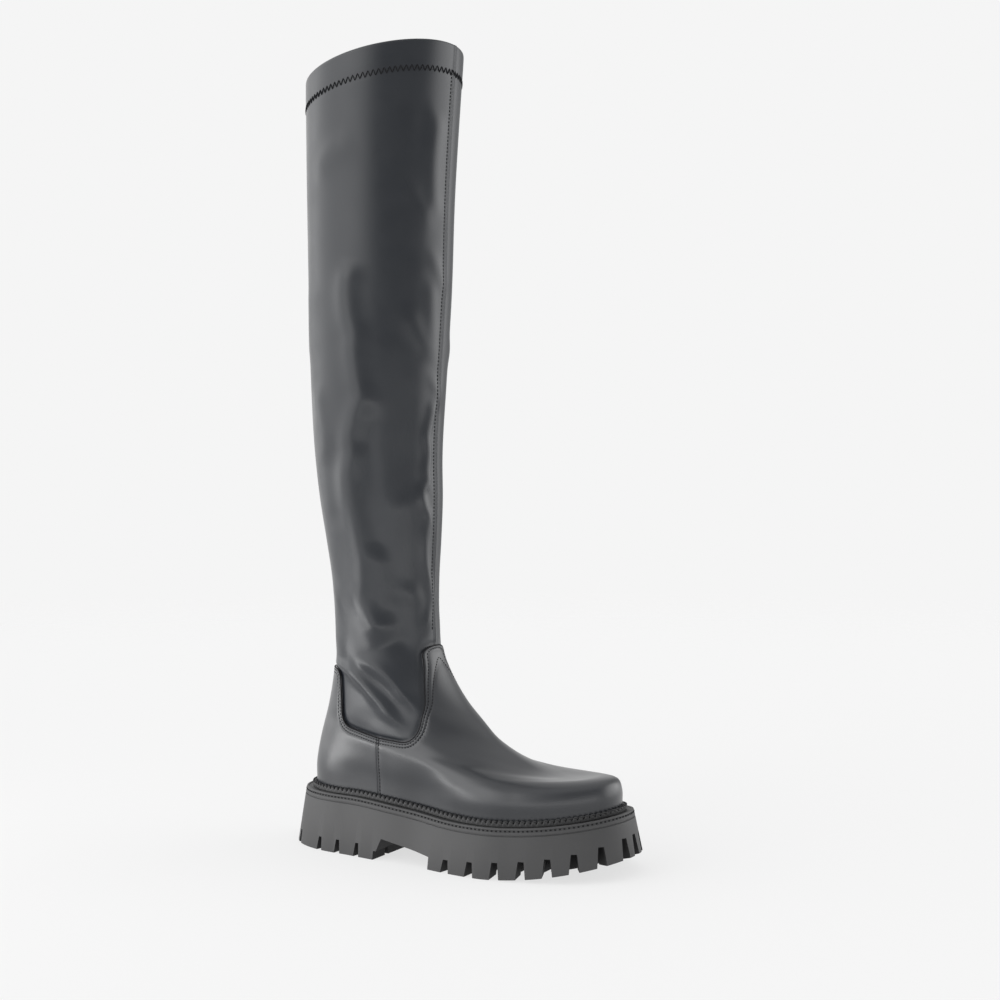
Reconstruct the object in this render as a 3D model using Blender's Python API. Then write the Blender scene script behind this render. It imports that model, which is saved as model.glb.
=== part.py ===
# Tall pull-on boot for the right foot, in metres: +X to the toe, +Y to the inner side of the foot, +Z up.
# The boot stands on its lugged sole. The origin is under the middle of its box, on the floor.
# Pieces: outsole, welt, insole, upper, vamp and heel counter.

from collections import namedtuple
from math import cos, pi, sin, tan

import bmesh
import bpy
import numpy as np

MM = 0.001

# Foot form, along the line where the upper meets the sole
LAST_LENGTH = 254 * MM
BALL_WIDTH = 87 * MM
HEEL_SEAT_WIDTH = 57 * MM
TOE_SWING = 4 * MM
TOE_SWING_START = 0.45
ANKLE_RISE = 120 * MM
ANKLE_WIDTH = 70 * MM

# Shaft
SHAFT_RISE = 442 * MM
COLLAR_LENGTH = 130 * MM
COLLAR_WIDTH = 108 * MM
COLLAR_LIFT = 21 * MM
HEM_HEIGHT = 21.5 * MM

# Material thicknesses and the clearance between pieces that touch
UPPER_WALL = 1.4 * MM
HEM_WALL = 2.4 * MM
OVERLAY_WALL = 1.3 * MM
CLEARANCE = 0.3 * MM

# Sole unit
HEEL_HEIGHT = 43 * MM
PLATFORM_HEIGHT = 35.5 * MM
WAIST_START = 0.20
WAIST_END = 0.64
TOP_TOE_LIFT = 8 * MM
TOP_TOE_LIFT_START = 0.68
TOE_SPRING = 15 * MM
TOE_SPRING_START = 0.65
LEDGE_WIDTH = 8 * MM
WALL_FLARE = 6.5 * MM
RIM_ROUND = 1.2 * MM
MID_ARC = 0.7
BAND_HEIGHT = 5 * MM
LINE_WIDTH = 0.9 * MM
LINE_DEPTH = 0.7 * MM
LINE_EDGE = 0.18 * MM

# Tread
LUG_HEIGHT = 12 * MM
WAIST_LUG_HEIGHT = 8.8 * MM
HEEL_LUG_HEIGHT = 10 * MM
FULL_LUG_STATION = 0.75
RING_CHANNEL_DEPTH = 7 * MM
CROSS_CHANNEL_DEPTH = 6 * MM
CHANNEL_WIDTH = 4.5 * MM
CHANNEL_DRAFT = 0.3 * MM
LUG_REACH = 17 * MM
TIP_GROOVE_REACH = 9 * MM
BREAST_STATION = 0.332
FORE_STATION = 0.509
BREAST_STEP_HEIGHT = 6.5 * MM
BREAST_STEP_DEPTH = 2.5 * MM
BREAST_LEAN = 4 * MM
ARCH_HEIGHT = 16 * MM
CUTTER_MARGIN = 8 * MM

# Welt strip
WELT_WIDTH = 2.6 * MM
WELT_HEIGHT = 3.8 * MM
WELT_ROUND = 1.0 * MM

# Insole
INSOLE_THICKNESS = 3 * MM

# Mesh resolution: stations from heel to toe on each side, the same for every piece so that they nest, and
# levels of the shaft
STATIONS = 24
SHAFT_LEVELS = 12
SHARP_ANGLE = 0.6

# How far the overlays, the sole's ledge and the sole's foot stand out from the upper
SKIN = CLEARANCE + OVERLAY_WALL
LEDGE_REACH = SKIN + LEDGE_WIDTH
FOOT_REACH = LEDGE_REACH + WALL_FLARE

# Half widths of the foot's outline before its ends are rounded off. Shares: station of LAST_LENGTH, widths
# of HEEL_SEAT_WIDTH in the first row and of BALL_WIDTH in the others.
PlanRow = namedtuple("PlanRow", "station outer inner")
PLAN = (
    PlanRow(0.18, 0.525, 0.475),
    PlanRow(0.34, 0.392, 0.318),
    PlanRow(0.46, 0.405, 0.322),
    PlanRow(0.58, 0.472, 0.405),
    PlanRow(0.68, 0.505, 0.478),
    PlanRow(0.76, 0.490, 0.500),
    PlanRow(1.00, 0.462, 0.495),
)
HEEL_ROUND_END = 0.19
HEEL_ROUND_POWER = 2.2
TOE_ROUND_START = 0.69
TOE_ROUND_POWER = 2.12

# Sections of the foot from the sole up to the ankle. Each is a loop through a back point and a front point.
# Shares: back and front of LAST_LENGTH, rises of ANKLE_RISE. A loop climbs from front to back by a curve of
# power climb. A loop's half width is the foot's outline times plan, plus an oval whose half widths are shares
# of ANKLE_WIDTH. widest is the place of the oval's peak on the loop, and point shapes its front end: 1 is a
# wedge and 2 is round.
# sag is how much of the sole's dip the loop follows.
FootRow = namedtuple("FootRow", "back back_rise front front_rise climb plan outer inner widest point sag")
FOOT = (
    FootRow(0.000, 0.000, 1.000, 0.000, 2.0, 1.00, 0.000, 0.000, 0.50, 2.2, 1.00),
    FootRow(0.000, 0.048, 1.000, 0.048, 2.0, 1.00, 0.000, 0.000, 0.50, 2.2, 1.00),
    FootRow(0.000, 0.150, 0.999, 0.122, 2.0, 1.00, 0.007, 0.007, 0.45, 2.2, 0.98),
    FootRow(0.006, 0.245, 0.991, 0.175, 2.0, 0.74, 0.155, 0.155, 0.48, 2.2, 0.90),
    FootRow(0.014, 0.335, 0.963, 0.198, 1.8, 0.44, 0.312, 0.307, 0.48, 2.0, 0.75),
    FootRow(0.024, 0.413, 0.908, 0.196, 1.4, 0.25, 0.405, 0.398, 0.47, 1.8, 0.55),
    FootRow(0.034, 0.487, 0.837, 0.188, 1.15, 0.12, 0.453, 0.445, 0.46, 1.7, 0.35),
    FootRow(0.044, 0.561, 0.762, 0.206, 1.0, 0.05, 0.483, 0.473, 0.45, 1.65, 0.18),
    FootRow(0.052, 0.635, 0.690, 0.264, 1.0, 0.00, 0.498, 0.489, 0.45, 1.65, 0.08),
    FootRow(0.059, 0.700, 0.621, 0.342, 1.0, 0.00, 0.496, 0.488, 0.46, 1.7, 0.00),
    FootRow(0.065, 0.767, 0.567, 0.443, 1.0, 0.00, 0.495, 0.489, 0.47, 1.8, 0.00),
    FootRow(0.069, 0.833, 0.511, 0.552, 1.0, 0.00, 0.495, 0.491, 0.48, 1.9, 0.00),
    FootRow(0.071, 0.899, 0.459, 0.690, 1.0, 0.00, 0.497, 0.494, 0.49, 2.0, 0.00),
    FootRow(0.071, 0.973, 0.417, 0.855, 1.0, 0.00, 0.500, 0.498, 0.50, 2.0, 0.00),
)
BACK_ROUND_POWER = 2.15

# Sections of the shaft. Shares: rise of SHAFT_RISE above the ankle, lean of COLLAR_LENGTH from the ankle's
# middle, half length of COLLAR_LENGTH and half width of COLLAR_WIDTH. tilt is the share of COLLAR_LIFT that
# its front is lifted.
ShaftRow = namedtuple("ShaftRow", "rise lean half_length half_width tilt")
ANKLE_MIDDLE = 0.2350
SHAFT = (
    ShaftRow(0.025, 0.000, 0.330, 0.329, 0.00),
    ShaftRow(0.098, -0.012, 0.338, 0.339, 0.00),
    ShaftRow(0.168, -0.026, 0.363, 0.364, 0.00),
    ShaftRow(0.239, -0.044, 0.388, 0.390, 0.00),
    ShaftRow(0.309, -0.062, 0.402, 0.403, 0.00),
    ShaftRow(0.449, -0.064, 0.430, 0.432, 0.05),
    ShaftRow(0.589, -0.054, 0.452, 0.453, 0.20),
    ShaftRow(0.766, -0.048, 0.469, 0.470, 0.55),
    ShaftRow(0.941, -0.030, 0.492, 0.494, 0.97),
    ShaftRow(1.000, -0.023, 0.500, 0.500, 1.00),
)

# The line where the vamp and the counter end, seen from the side, with a radius at each corner.
# Shares: station of LAST_LENGTH, rise of ANKLE_RISE above the sole's heel seat, radius of ANKLE_RISE.
EdgeRow = namedtuple("EdgeRow", "station rise radius")
TOPLINE = (
    EdgeRow(-0.100, 0.787, 0.00),
    EdgeRow(0.135, 0.787, 0.07),
    EdgeRow(0.147, 0.432, 0.11),
    EdgeRow(0.290, 0.378, 0.40),
    EdgeRow(0.425, 0.358, 0.15),
    EdgeRow(0.436, 0.580, 0.20),
    EdgeRow(0.390, 0.930, 0.10),
    EdgeRow(0.440, 0.985, 0.10),
    EdgeRow(0.560, 0.985, 0.00),
)
SIDE_SEAM_STATION = 0.292
SIDE_SEAM_WIDTH = 0.4 * MM

# Grooves between the edge lugs, and the tread's cross channels, at shares of the sole's length
GrooveKind = namedtuple("GrooveKind", "foot_width top_width")
HEEL_GROOVE = GrooveKind(5.2 * MM, 3.0 * MM)
FORE_GROOVE = GrooveKind(7.2 * MM, 4.3 * MM)
CHANNEL = GrooveKind(CHANNEL_WIDTH, CHANNEL_WIDTH - 2 * CHANNEL_DRAFT)
HEEL_GROOVES = (0.050, 0.146, 0.209, 0.275)
FORE_GROOVES = (0.564, 0.637, 0.708, 0.774, 0.838, 0.898, 0.954, 0.9925)
HEEL_CHANNELS = (0.178,)
FORE_CHANNELS = (0.60, 0.673, 0.741, 0.806)

MATERIALS = {
    "sole_rubber": ((0.060, 0.060, 0.062, 1.0), 0.62),
    "welt_rubber": ((0.030, 0.030, 0.031, 1.0), 0.50),
    "smooth_leather": ((0.028, 0.028, 0.030, 1.0), 0.36),
    "stretch_leather": ((0.036, 0.036, 0.038, 1.0), 0.40),
    "sock_lining": ((0.045, 0.045, 0.047, 1.0), 0.85),
}


def smooth(value):
    """Eases a share from 0 to 1 with a level start and end."""
    value = min(max(value, 0.0), 1.0)
    return value * value * (3 - 2 * value)


def round_end(share, power):
    """Half width of a rounded end: 0 at share 0, full at share 1."""
    share = min(max(share, 0.0), 1.0)
    return (1 - (1 - share) ** power) ** (1 / power)


def catmull(rows, position):
    """A smooth value between rows of numbers, at a place counted in rows."""
    last = len(rows) - 1
    first = min(max(int(position), 0), last - 1)
    t = position - first
    before, a, b, after = (np.array(rows[min(max(first + k, 0), last)], float) for k in (-1, 0, 1, 2))
    return 0.5 * (2 * a + (b - before) * t + (2 * before - 5 * a + 4 * b - after) * t**2
                  + (3 * a - before - 3 * b + after) * t**3)


def row_place(stations, station):
    """The place, counted in rows, of a station in a rising list of stations."""
    for k in range(len(stations) - 1):
        if station <= stations[k + 1]:
            return k + max(station - stations[k], 0.0) / (stations[k + 1] - stations[k])
    return len(stations) - 1.0


def plan_rows():
    """The foot's half widths in metres as (outer, inner) rows."""
    widths = [HEEL_SEAT_WIDTH] + [BALL_WIDTH] * (len(PLAN) - 1)
    return [(row.outer * width, row.inner * width) for row, width in zip(PLAN, widths)]


def plan_half_widths(share):
    """Outer and inner half width of the foot's outline at a share of its length."""
    ends = round_end(share / HEEL_ROUND_END, HEEL_ROUND_POWER)
    ends *= round_end((1 - share) / (1 - TOE_ROUND_START), TOE_ROUND_POWER)
    return catmull(plan_rows(), row_place([row.station for row in PLAN], share)) * ends


def centre_line(x):
    """How far the foot's middle swings to the inner side at a distance from the heel."""
    return TOE_SWING * smooth((x / LAST_LENGTH - TOE_SWING_START) / (1 - TOE_SWING_START))


def sole_top(x):
    """Height of the sole's upper face at a distance from the heel."""
    share = x / LAST_LENGTH
    heel = 1 - smooth((share - WAIST_START) / (WAIST_END - WAIST_START))
    toe = max(share - TOP_TOE_LIFT_START, 0.0) / (1 - TOP_TOE_LIFT_START)
    return PLATFORM_HEIGHT + (HEEL_HEIGHT - PLATFORM_HEIGHT) * heel + TOP_TOE_LIFT * toe**2


def sole_sag(x):
    """How far the sole's upper face dips under the straight line from heel to toe."""
    share = x / LAST_LENGTH
    return sole_top(x) - (sole_top(0) * (1 - share) + sole_top(LAST_LENGTH) * share)


def shares():
    """A share from 0 to 1 for each station, closest together at both ends."""
    return [(1 - cos(pi * k / STATIONS)) / 2 for k in range(STATIONS + 1)]


def foot_loop(row):
    """One loop of the foot: from the back along the outer side to the front, then along the inner one."""
    back = np.array([row.back * LAST_LENGTH, sole_top(0) + row.back_rise * ANKLE_RISE])
    front = np.array([row.front * LAST_LENGTH, sole_top(LAST_LENGTH) + row.front_rise * ANKLE_RISE])
    outer_side, inner_side = [], []
    for share in shares():
        x = back[0] * (1 - share) + front[0] * share
        z = front[1] + (back[1] - front[1]) * (1 - share) ** row.climb
        if share < row.widest:
            round_share = round_end(share / row.widest, BACK_ROUND_POWER)
        else:
            round_share = round_end((1 - share) / (1 - row.widest), row.point)
        oval = np.array([row.outer, row.inner]) * ANKLE_WIDTH * round_share
        half = row.plan * plan_half_widths(share) + oval
        z += row.sag * sole_sag(x)
        outer_side.append((x, centre_line(x) - half[0], z))
        inner_side.append((x, centre_line(x) + half[1], z))
    return outer_side + inner_side[-2:0:-1]


def shaft_loop(row):
    """One loop of the shaft, in the same order as a foot loop, level or lifted at the front."""
    rise, lean, half_length, half_width, tilt = row
    middle = ANKLE_MIDDLE * LAST_LENGTH + lean * COLLAR_LENGTH
    outer_side, inner_side = [], []
    for k in range(STATIONS + 1):
        along = -cos(pi * k / STATIONS)
        x = middle + half_length * COLLAR_LENGTH * along
        y = half_width * COLLAR_WIDTH * sin(pi * k / STATIONS)
        z = sole_top(0) + ANKLE_RISE + rise * SHAFT_RISE + tilt * COLLAR_LIFT * along / 2
        outer_side.append((x, -y, z))
        inner_side.append((x, y, z))
    return outer_side + inner_side[-2:0:-1]


def form_grid():
    """The boot's outer form as an array of loops from the sole to the collar. The last two are the hem."""
    loops = [foot_loop(row) for row in FOOT]
    last = len(SHAFT) - 1
    loops += [shaft_loop(catmull(SHAFT, last * k / SHAFT_LEVELS)) for k in range(SHAFT_LEVELS - 1)]
    hem = SHAFT[-1].rise - HEM_HEIGHT / SHAFT_RISE
    loops.append(shaft_loop(catmull(SHAFT, row_place([row.rise for row in SHAFT], hem))))
    loops.append(shaft_loop(SHAFT[-1]))
    return np.array(loops)


def offset_grid(grid, distance):
    """The grid moved out along its normals, with its lowest loop on the sole and its highest one level."""
    around = np.roll(grid, -1, axis=1) - np.roll(grid, 1, axis=1)
    upward = np.gradient(grid, axis=0)
    normals = np.cross(around, upward)
    normals[0, :, 2] = 0
    normals[-1, :, 2] = 0
    normals /= np.linalg.norm(normals, axis=2, keepdims=True)
    moved = grid + normals * np.reshape(distance, (-1, 1, 1))
    moved[0, :, 2] = [sole_top(x) for x in moved[0, :, 0]]
    return moved


def add_object(name, vertices, faces, material):
    """A named mesh object from lists of points and faces."""
    mesh = bpy.data.meshes.new(name)
    mesh.from_pydata([tuple(map(float, v)) for v in vertices], [], faces)
    mesh.update()
    made = bpy.data.objects.new(name, mesh)
    bpy.context.scene.collection.objects.link(made)
    if material:
        mesh.materials.append(material)
        mesh.shade_smooth()
        mesh.set_sharp_from_angle(angle=SHARP_ANGLE)
    return made


def strip_faces(first, second, count):
    """Triangles between two closed loops of points that start at the given indexes."""
    faces = []
    for k in range(count):
        a, b = first + k, first + (k + 1) % count
        c, d = second + (k + 1) % count, second + k
        faces += [(a, b, c), (a, c, d)]
    return faces


def shell(name, outer, inner, material):
    """A hollow solid between an outer and an inner grid, joined at the lowest and highest loops."""
    rows, count = outer.shape[:2]
    half = rows * count
    faces = []
    for k in range(rows - 1):
        faces += strip_faces(k * count, (k + 1) * count, count)
        faces += [face[::-1] for face in strip_faces(half + k * count, half + (k + 1) * count, count)]
    faces += strip_faces(half, 0, count)
    faces += strip_faces((rows - 1) * count, half + (rows - 1) * count, count)
    points = np.concatenate([outer.reshape(-1, 3), inner.reshape(-1, 3)])
    return add_object(name, points, faces, material)


def prism(name, outline, reach):
    """A cutter with an outline in X and Z, straight across to a reach on both sides."""
    count = len(outline)
    points = [(x, y, z) for y in (-reach, reach) for x, z in outline]
    faces = [tuple(range(count)), tuple(range(2 * count - 1, count - 1, -1))]
    faces += [face[::-1] for face in strip_faces(0, count, count)]
    return add_object(name, points, faces, None)


def cut(target, cutter):
    """Cuts one object with another, removes the cutter, and leaves flat triangles for the next cut."""
    bpy.context.view_layer.update()
    modifier = target.modifiers.new("cut", "BOOLEAN")
    modifier.object = cutter
    modifier.operation = "DIFFERENCE"
    modifier.solver = "EXACT"
    evaluated = target.evaluated_get(bpy.context.evaluated_depsgraph_get())
    mesh = bpy.data.meshes.new_from_object(evaluated)
    target.modifiers.clear()
    facets = bmesh.new()
    facets.from_mesh(mesh)
    bmesh.ops.triangulate(facets, faces=facets.faces)
    facets.to_mesh(mesh)
    facets.free()
    target.data = mesh
    bpy.data.objects.remove(cutter)


def rounded(corners, steps=5):
    """An open outline whose inner corners are arcs. Corners are (x, z, radius)."""
    points = [corners[0][:2]]
    for before, corner, after in zip(corners, corners[1:], corners[2:]):
        here = np.array(corner[:2])
        to_before = np.array(before[:2]) - here
        to_after = np.array(after[:2]) - here
        reach = [np.linalg.norm(to_before), np.linalg.norm(to_after)]
        to_before, to_after = to_before / reach[0], to_after / reach[1]
        half_angle = np.arccos(np.clip(to_before @ to_after, -1, 1)) / 2
        tangent = min(corner[2] / tan(half_angle), 0.49 * min(reach))
        for k in range(steps + 1):
            share = k / steps
            start, end = here + to_before * tangent, here + to_after * tangent
            points.append(tuple((1 - share) ** 2 * start + 2 * share * (1 - share) * here + share**2 * end))
    points.append(corners[-1][:2])
    return points


def topline():
    """The upper edge of the vamp and the counter in metres, seen from the side."""
    return rounded([(row.station * LAST_LENGTH, sole_top(0) + row.rise * ANKLE_RISE, row.radius * ANKLE_RISE)
                    for row in TOPLINE])


def make_upper(material):
    """The hollow upper: foot and shaft in one wall, thicker at the turned hem."""
    grid = form_grid()
    wall = [UPPER_WALL] * len(grid)
    wall[-2:] = [HEM_WALL] * 2
    return shell("upper", grid, offset_grid(grid, [-w for w in wall]), material)


def make_overlays(material):
    """The vamp and the heel counter, both cut from one skin that lies over the upper's foot."""
    foot = form_grid()[: len(FOOT) + 2]
    pieces = {"vamp": SIDE_SEAM_STATION * LAST_LENGTH + SIDE_SEAM_WIDTH / 2,
              "heel_counter": SIDE_SEAM_STATION * LAST_LENGTH - SIDE_SEAM_WIDTH / 2}
    far = LAST_LENGTH
    made = []
    for name, seam in pieces.items():
        outside = offset_grid(foot, [SKIN] * len(foot))
        skin = shell(name, outside, offset_grid(foot, [CLEARANCE] * len(foot)), material)
        edge = topline()
        above = [(edge[0][0] - far, edge[0][1])] + edge + [(edge[-1][0] + far, edge[-1][1])]
        above += [(above[-1][0], far), (above[0][0], far)]
        cut(skin, prism("above_topline", above, far))
        side = -1 if name == "vamp" else 1
        beyond = [(seam, -far), (seam + side * far, -far), (seam + side * far, far), (seam, far)]
        cut(skin, prism("beyond_seam", beyond[::side], far))
        made.append(skin)
    return made


def outward_normals(loop):
    """A unit normal in plan at each point of a closed plan loop."""
    along = np.roll(loop, -1, axis=0) - np.roll(loop, 1, axis=0)
    normals = np.stack([along[:, 1], -along[:, 0]], axis=1)
    return normals / np.linalg.norm(normals, axis=1, keepdims=True)


def plan_loop(offset):
    """The foot's outline in plan, moved outwards by a distance."""
    points = np.array(foot_loop(FOOT[0]))[:, :2]
    return points + outward_normals(points) * offset


def sole_ends():
    """The least and greatest X of the sole's foot."""
    loop = plan_loop(FOOT_REACH)
    return loop[:, 0].min(), loop[:, 0].max()


def sole_bottom(x):
    """Height of the lugs' feet: flat on the floor, and rising towards the toe."""
    low, high = sole_ends()
    share = (x - low) / (high - low)
    return TOE_SPRING * (max(share - TOE_SPRING_START, 0.0) / (1 - TOE_SPRING_START)) ** 2


def cap_faces(start, count):
    """Faces that close a loop straight across from the outer to the inner side."""
    half = count // 2
    faces = []
    for k in range(half):
        a, b = start + k, start + k + 1
        c, d = start + (count - k - 1) % count, start + (count - k) % count
        faces.append(tuple(dict.fromkeys((a, b, c, d))))
    return faces


def stacked(name, loops, material):
    """A closed solid through loops from the lowest to the highest, with both ends closed across."""
    count = len(loops[0])
    faces = []
    for k in range(len(loops) - 1):
        faces += strip_faces(k * count, (k + 1) * count, count)
    faces += [face[::-1] for face in cap_faces(0, count)]
    faces += cap_faces((len(loops) - 1) * count, count)
    return add_object(name, np.concatenate(loops), faces, material)


def level(loop, heights):
    """A plan loop with a height for each of its points."""
    return np.column_stack([loop, heights])


def sole_block(material):
    """The whole sole before its tread and arch are cut: flared wall, side line and ledge."""
    full = plan_loop(FOOT_REACH)
    ledge = plan_loop(LEDGE_REACH)
    inward = plan_loop(LEDGE_REACH - RIM_ROUND)
    bottom = np.array([sole_bottom(x) for x in full[:, 0]])
    top = np.array([sole_top(x) for x in ledge[:, 0]])
    inner_top = np.array([sole_top(x) for x in inward[:, 0]])

    def wall(drop, inset=0.0):
        share = ((top - drop - bottom) / (top - RIM_ROUND - bottom))[:, None]
        loop = full * (1 - share) + ledge * share
        step = ledge - inward
        return level(loop - step * inset / RIM_ROUND, top - drop)

    loops = [
        level(full, bottom),
        wall(BAND_HEIGHT + LINE_WIDTH),
        wall(BAND_HEIGHT + LINE_WIDTH - LINE_EDGE, LINE_DEPTH),
        wall(BAND_HEIGHT + LINE_EDGE, LINE_DEPTH),
        wall(BAND_HEIGHT),
        wall(RIM_ROUND),
        level(ledge * (1 - MID_ARC) + inward * MID_ARC, inner_top - RIM_ROUND * (1 - MID_ARC)),
        level(inward, inner_top),
    ]
    return stacked("outsole", loops, material)


def station_on_loop(loop, normals, station, side):
    """A point of the sole's foot and its outward normal, at a share of the sole's length on one side."""
    low, high = loop[:, 0].min(), loop[:, 0].max()
    half = len(loop) // 2
    indexes = range(half + 1) if side < 0 else [(-k) % len(loop) for k in range(half + 1)]
    target = low + station * (high - low)
    for a, b in zip(indexes, indexes[1:]):
        if loop[a, 0] <= target <= loop[b, 0]:
            share = (target - loop[a, 0]) / (loop[b, 0] - loop[a, 0])
            point = loop[a] * (1 - share) + loop[b] * share
            normal = normals[a] * (1 - share) + normals[b] * share
            return point, normal / np.linalg.norm(normal)
    raise ValueError("station outside the sole")


def lug_height(station):
    """Height of the edge lugs at a share of the sole's length: lower at the waist, full at the ball."""
    if station < BREAST_STATION:
        return HEEL_LUG_HEIGHT
    share = (station - FORE_STATION) / (FULL_LUG_STATION - FORE_STATION)
    return WAIST_LUG_HEIGHT + (LUG_HEIGHT - WAIST_LUG_HEIGHT) * smooth(share)


def tapered_bar(start, end, kind, height):
    """A bar between two points of the plan, for a cut that is wider at the floor than at its top."""
    base = sole_bottom(start[0])
    along = (start - end) / np.linalg.norm(start - end)
    tangent = np.array([-along[1], along[0]])
    deep = CUTTER_MARGIN + base
    low = kind.foot_width / 2 + (kind.foot_width - kind.top_width) / 2 / height * deep
    top = kind.top_width / 2
    profile = ((-low, base - deep), (low, base - deep), (top, base + height), (-top, base + height))
    points = [(*(flat + tangent * across), z) for flat in (start, end) for across, z in profile]
    faces = [(0, 1, 2, 3), (7, 6, 5, 4)] + [face[::-1] for face in strip_faces(0, 4, 4)]
    return points, faces


def cut_groove(sole, point, normal, kind, height, depth):
    """Cuts one groove between two edge lugs, from the sole's edge inwards."""
    points, faces = tapered_bar(point + normal * CUTTER_MARGIN, point - normal * depth, kind, height)
    cut(sole, add_object("groove", points, faces, None))


def cut_grooves(sole):
    """Cuts the grooves between the edge lugs, one after the other, and the one at the toe's tip."""
    foot = plan_loop(FOOT_REACH)
    normals = outward_normals(foot)
    depth = LUG_REACH + CHANNEL_WIDTH / 2
    for kind, stations in ((HEEL_GROOVE, HEEL_GROOVES), (FORE_GROOVE, FORE_GROOVES)):
        for station in stations:
            for side in (-1, 1):
                point, normal = station_on_loop(foot, normals, station, side)
                cut_groove(sole, point, normal, kind, lug_height(station), depth)
    tip = len(foot) // 2
    cut_groove(sole, foot[tip], normals[tip], FORE_GROOVE, LUG_HEIGHT, TIP_GROOVE_REACH)


def cut_channels(sole):
    """Cuts the channel behind the edge lugs and the channels across the middle of the tread."""
    rings = []
    for inset in (LUG_REACH, LUG_REACH + CHANNEL_WIDTH):
        loop = plan_loop(FOOT_REACH - inset)
        bottom = np.array([sole_bottom(x) for x in loop[:, 0]])
        rings += [level(loop, bottom - CUTTER_MARGIN), level(loop, bottom + RING_CHANNEL_DEPTH)]
    count = len(rings[0])
    faces = strip_faces(0, count, count) + strip_faces(count, 3 * count, count)
    faces += strip_faces(3 * count, 2 * count, count) + strip_faces(2 * count, 0, count)
    cut(sole, add_object("ring_channel", np.concatenate(rings), faces, None))
    low, high = sole_ends()
    for station in HEEL_CHANNELS + FORE_CHANNELS:
        x = low + station * (high - low)
        half = plan_half_widths(x / LAST_LENGTH) + FOOT_REACH - LUG_REACH - CHANNEL_WIDTH / 2
        middle = centre_line(x)
        ends = np.array([(x, middle + half[1]), (x, middle - half[0])])
        points, faces = tapered_bar(*ends, CHANNEL, CROSS_CHANNEL_DEPTH)
        cut(sole, add_object("cross_channel", points, faces, None))


def cut_arch(sole):
    """Cuts the opening between the heel's breast and the forefoot."""
    low, high = sole_ends()
    breast = low + BREAST_STATION * (high - low)
    fore = low + FORE_STATION * (high - low)
    outline = [(breast, -CUTTER_MARGIN), (fore, -CUTTER_MARGIN), (fore, WAIST_LUG_HEIGHT),
               (breast + BREAST_STEP_DEPTH + BREAST_LEAN, ARCH_HEIGHT),
               (breast + BREAST_STEP_DEPTH, BREAST_STEP_HEIGHT), (breast, BREAST_STEP_HEIGHT)]
    cut(sole, prism("arch", outline, LAST_LENGTH))


def make_outsole(material):
    """The lugged sole unit with its heel, arch and toe spring."""
    sole = sole_block(material)
    cut_arch(sole)
    cut_channels(sole)
    cut_grooves(sole)
    return sole


def make_welt(material):
    """The welt strip that lies on the sole's ledge against the vamp and the counter."""
    inside = SKIN + CLEARANCE
    outside = inside + WELT_WIDTH
    profile = [(inside, CLEARANCE), (outside, CLEARANCE), (outside, WELT_HEIGHT - WELT_ROUND),
               (outside - WELT_ROUND, WELT_HEIGHT), (inside, WELT_HEIGHT)]
    loops = []
    for offset, rise in profile:
        loop = plan_loop(offset)
        loops.append(level(loop, [sole_top(x) + rise for x in loop[:, 0]]))
    count = len(loops[0])
    faces = []
    for k in range(len(loops)):
        faces += strip_faces(k * count, (k + 1) % len(loops) * count, count)
    return add_object("welt", np.concatenate(loops), faces, material)


def make_insole(material):
    """The sock on the sole, inside the upper's wall."""
    loop = plan_loop(-UPPER_WALL - CLEARANCE)
    heights = np.array([sole_top(x) for x in loop[:, 0]])
    loops = [level(loop, heights + CLEARANCE), level(loop, heights + CLEARANCE + INSOLE_THICKNESS)]
    return stacked("insole", loops, material)


def make_material(name):
    """A plain finish with the piece's colour and roughness."""
    colour, roughness = MATERIALS[name]
    material = bpy.data.materials.new(name)
    material.use_nodes = True
    shader = material.node_tree.nodes["Principled BSDF"]
    shader.inputs["Base Color"].default_value = colour
    shader.inputs["Roughness"].default_value = roughness
    shader.inputs["Metallic"].default_value = 0.0
    return material


def seat_upper(pieces):
    """Raises the pieces of the upper to their clearance over the sole."""
    for piece in pieces:
        for vertex in piece.data.vertices:
            vertex.co.z += CLEARANCE


def centre_on_floor(pieces):
    """Moves all pieces so that the origin is under the middle of their box."""
    points = np.array([vertex.co for piece in pieces for vertex in piece.data.vertices])
    middle = (points.min(axis=0) + points.max(axis=0)) / 2
    for piece in pieces:
        for vertex in piece.data.vertices:
            vertex.co.x -= middle[0]
            vertex.co.y -= middle[1]


def main():
    """Builds every piece of the boot."""
    for found in list(bpy.data.objects):
        bpy.data.objects.remove(found)
    finish = {name: make_material(name) for name in MATERIALS}
    on_sole = [make_upper(finish["stretch_leather"])] + make_overlays(finish["smooth_leather"])
    seat_upper(on_sole)
    pieces = on_sole + [
        make_insole(finish["sock_lining"]),
        make_welt(finish["welt_rubber"]),
        make_outsole(finish["sole_rubber"]),
    ]
    centre_on_floor(pieces)


main()
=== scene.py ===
"""Tall pull-on boot for the right foot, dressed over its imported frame.

The shaft and its gusset are soft stretch leather, the vamp and the counter are smooth leather, and the
platform sole is matte moulded rubber. Lengths are in metres: +X to the toe, +Y to the inner side of the
foot, +Z up.
"""

from __future__ import annotations

import logging
import math
from collections.abc import Callable, Iterable, Sequence
from dataclasses import dataclass, field
from enum import Enum

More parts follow.
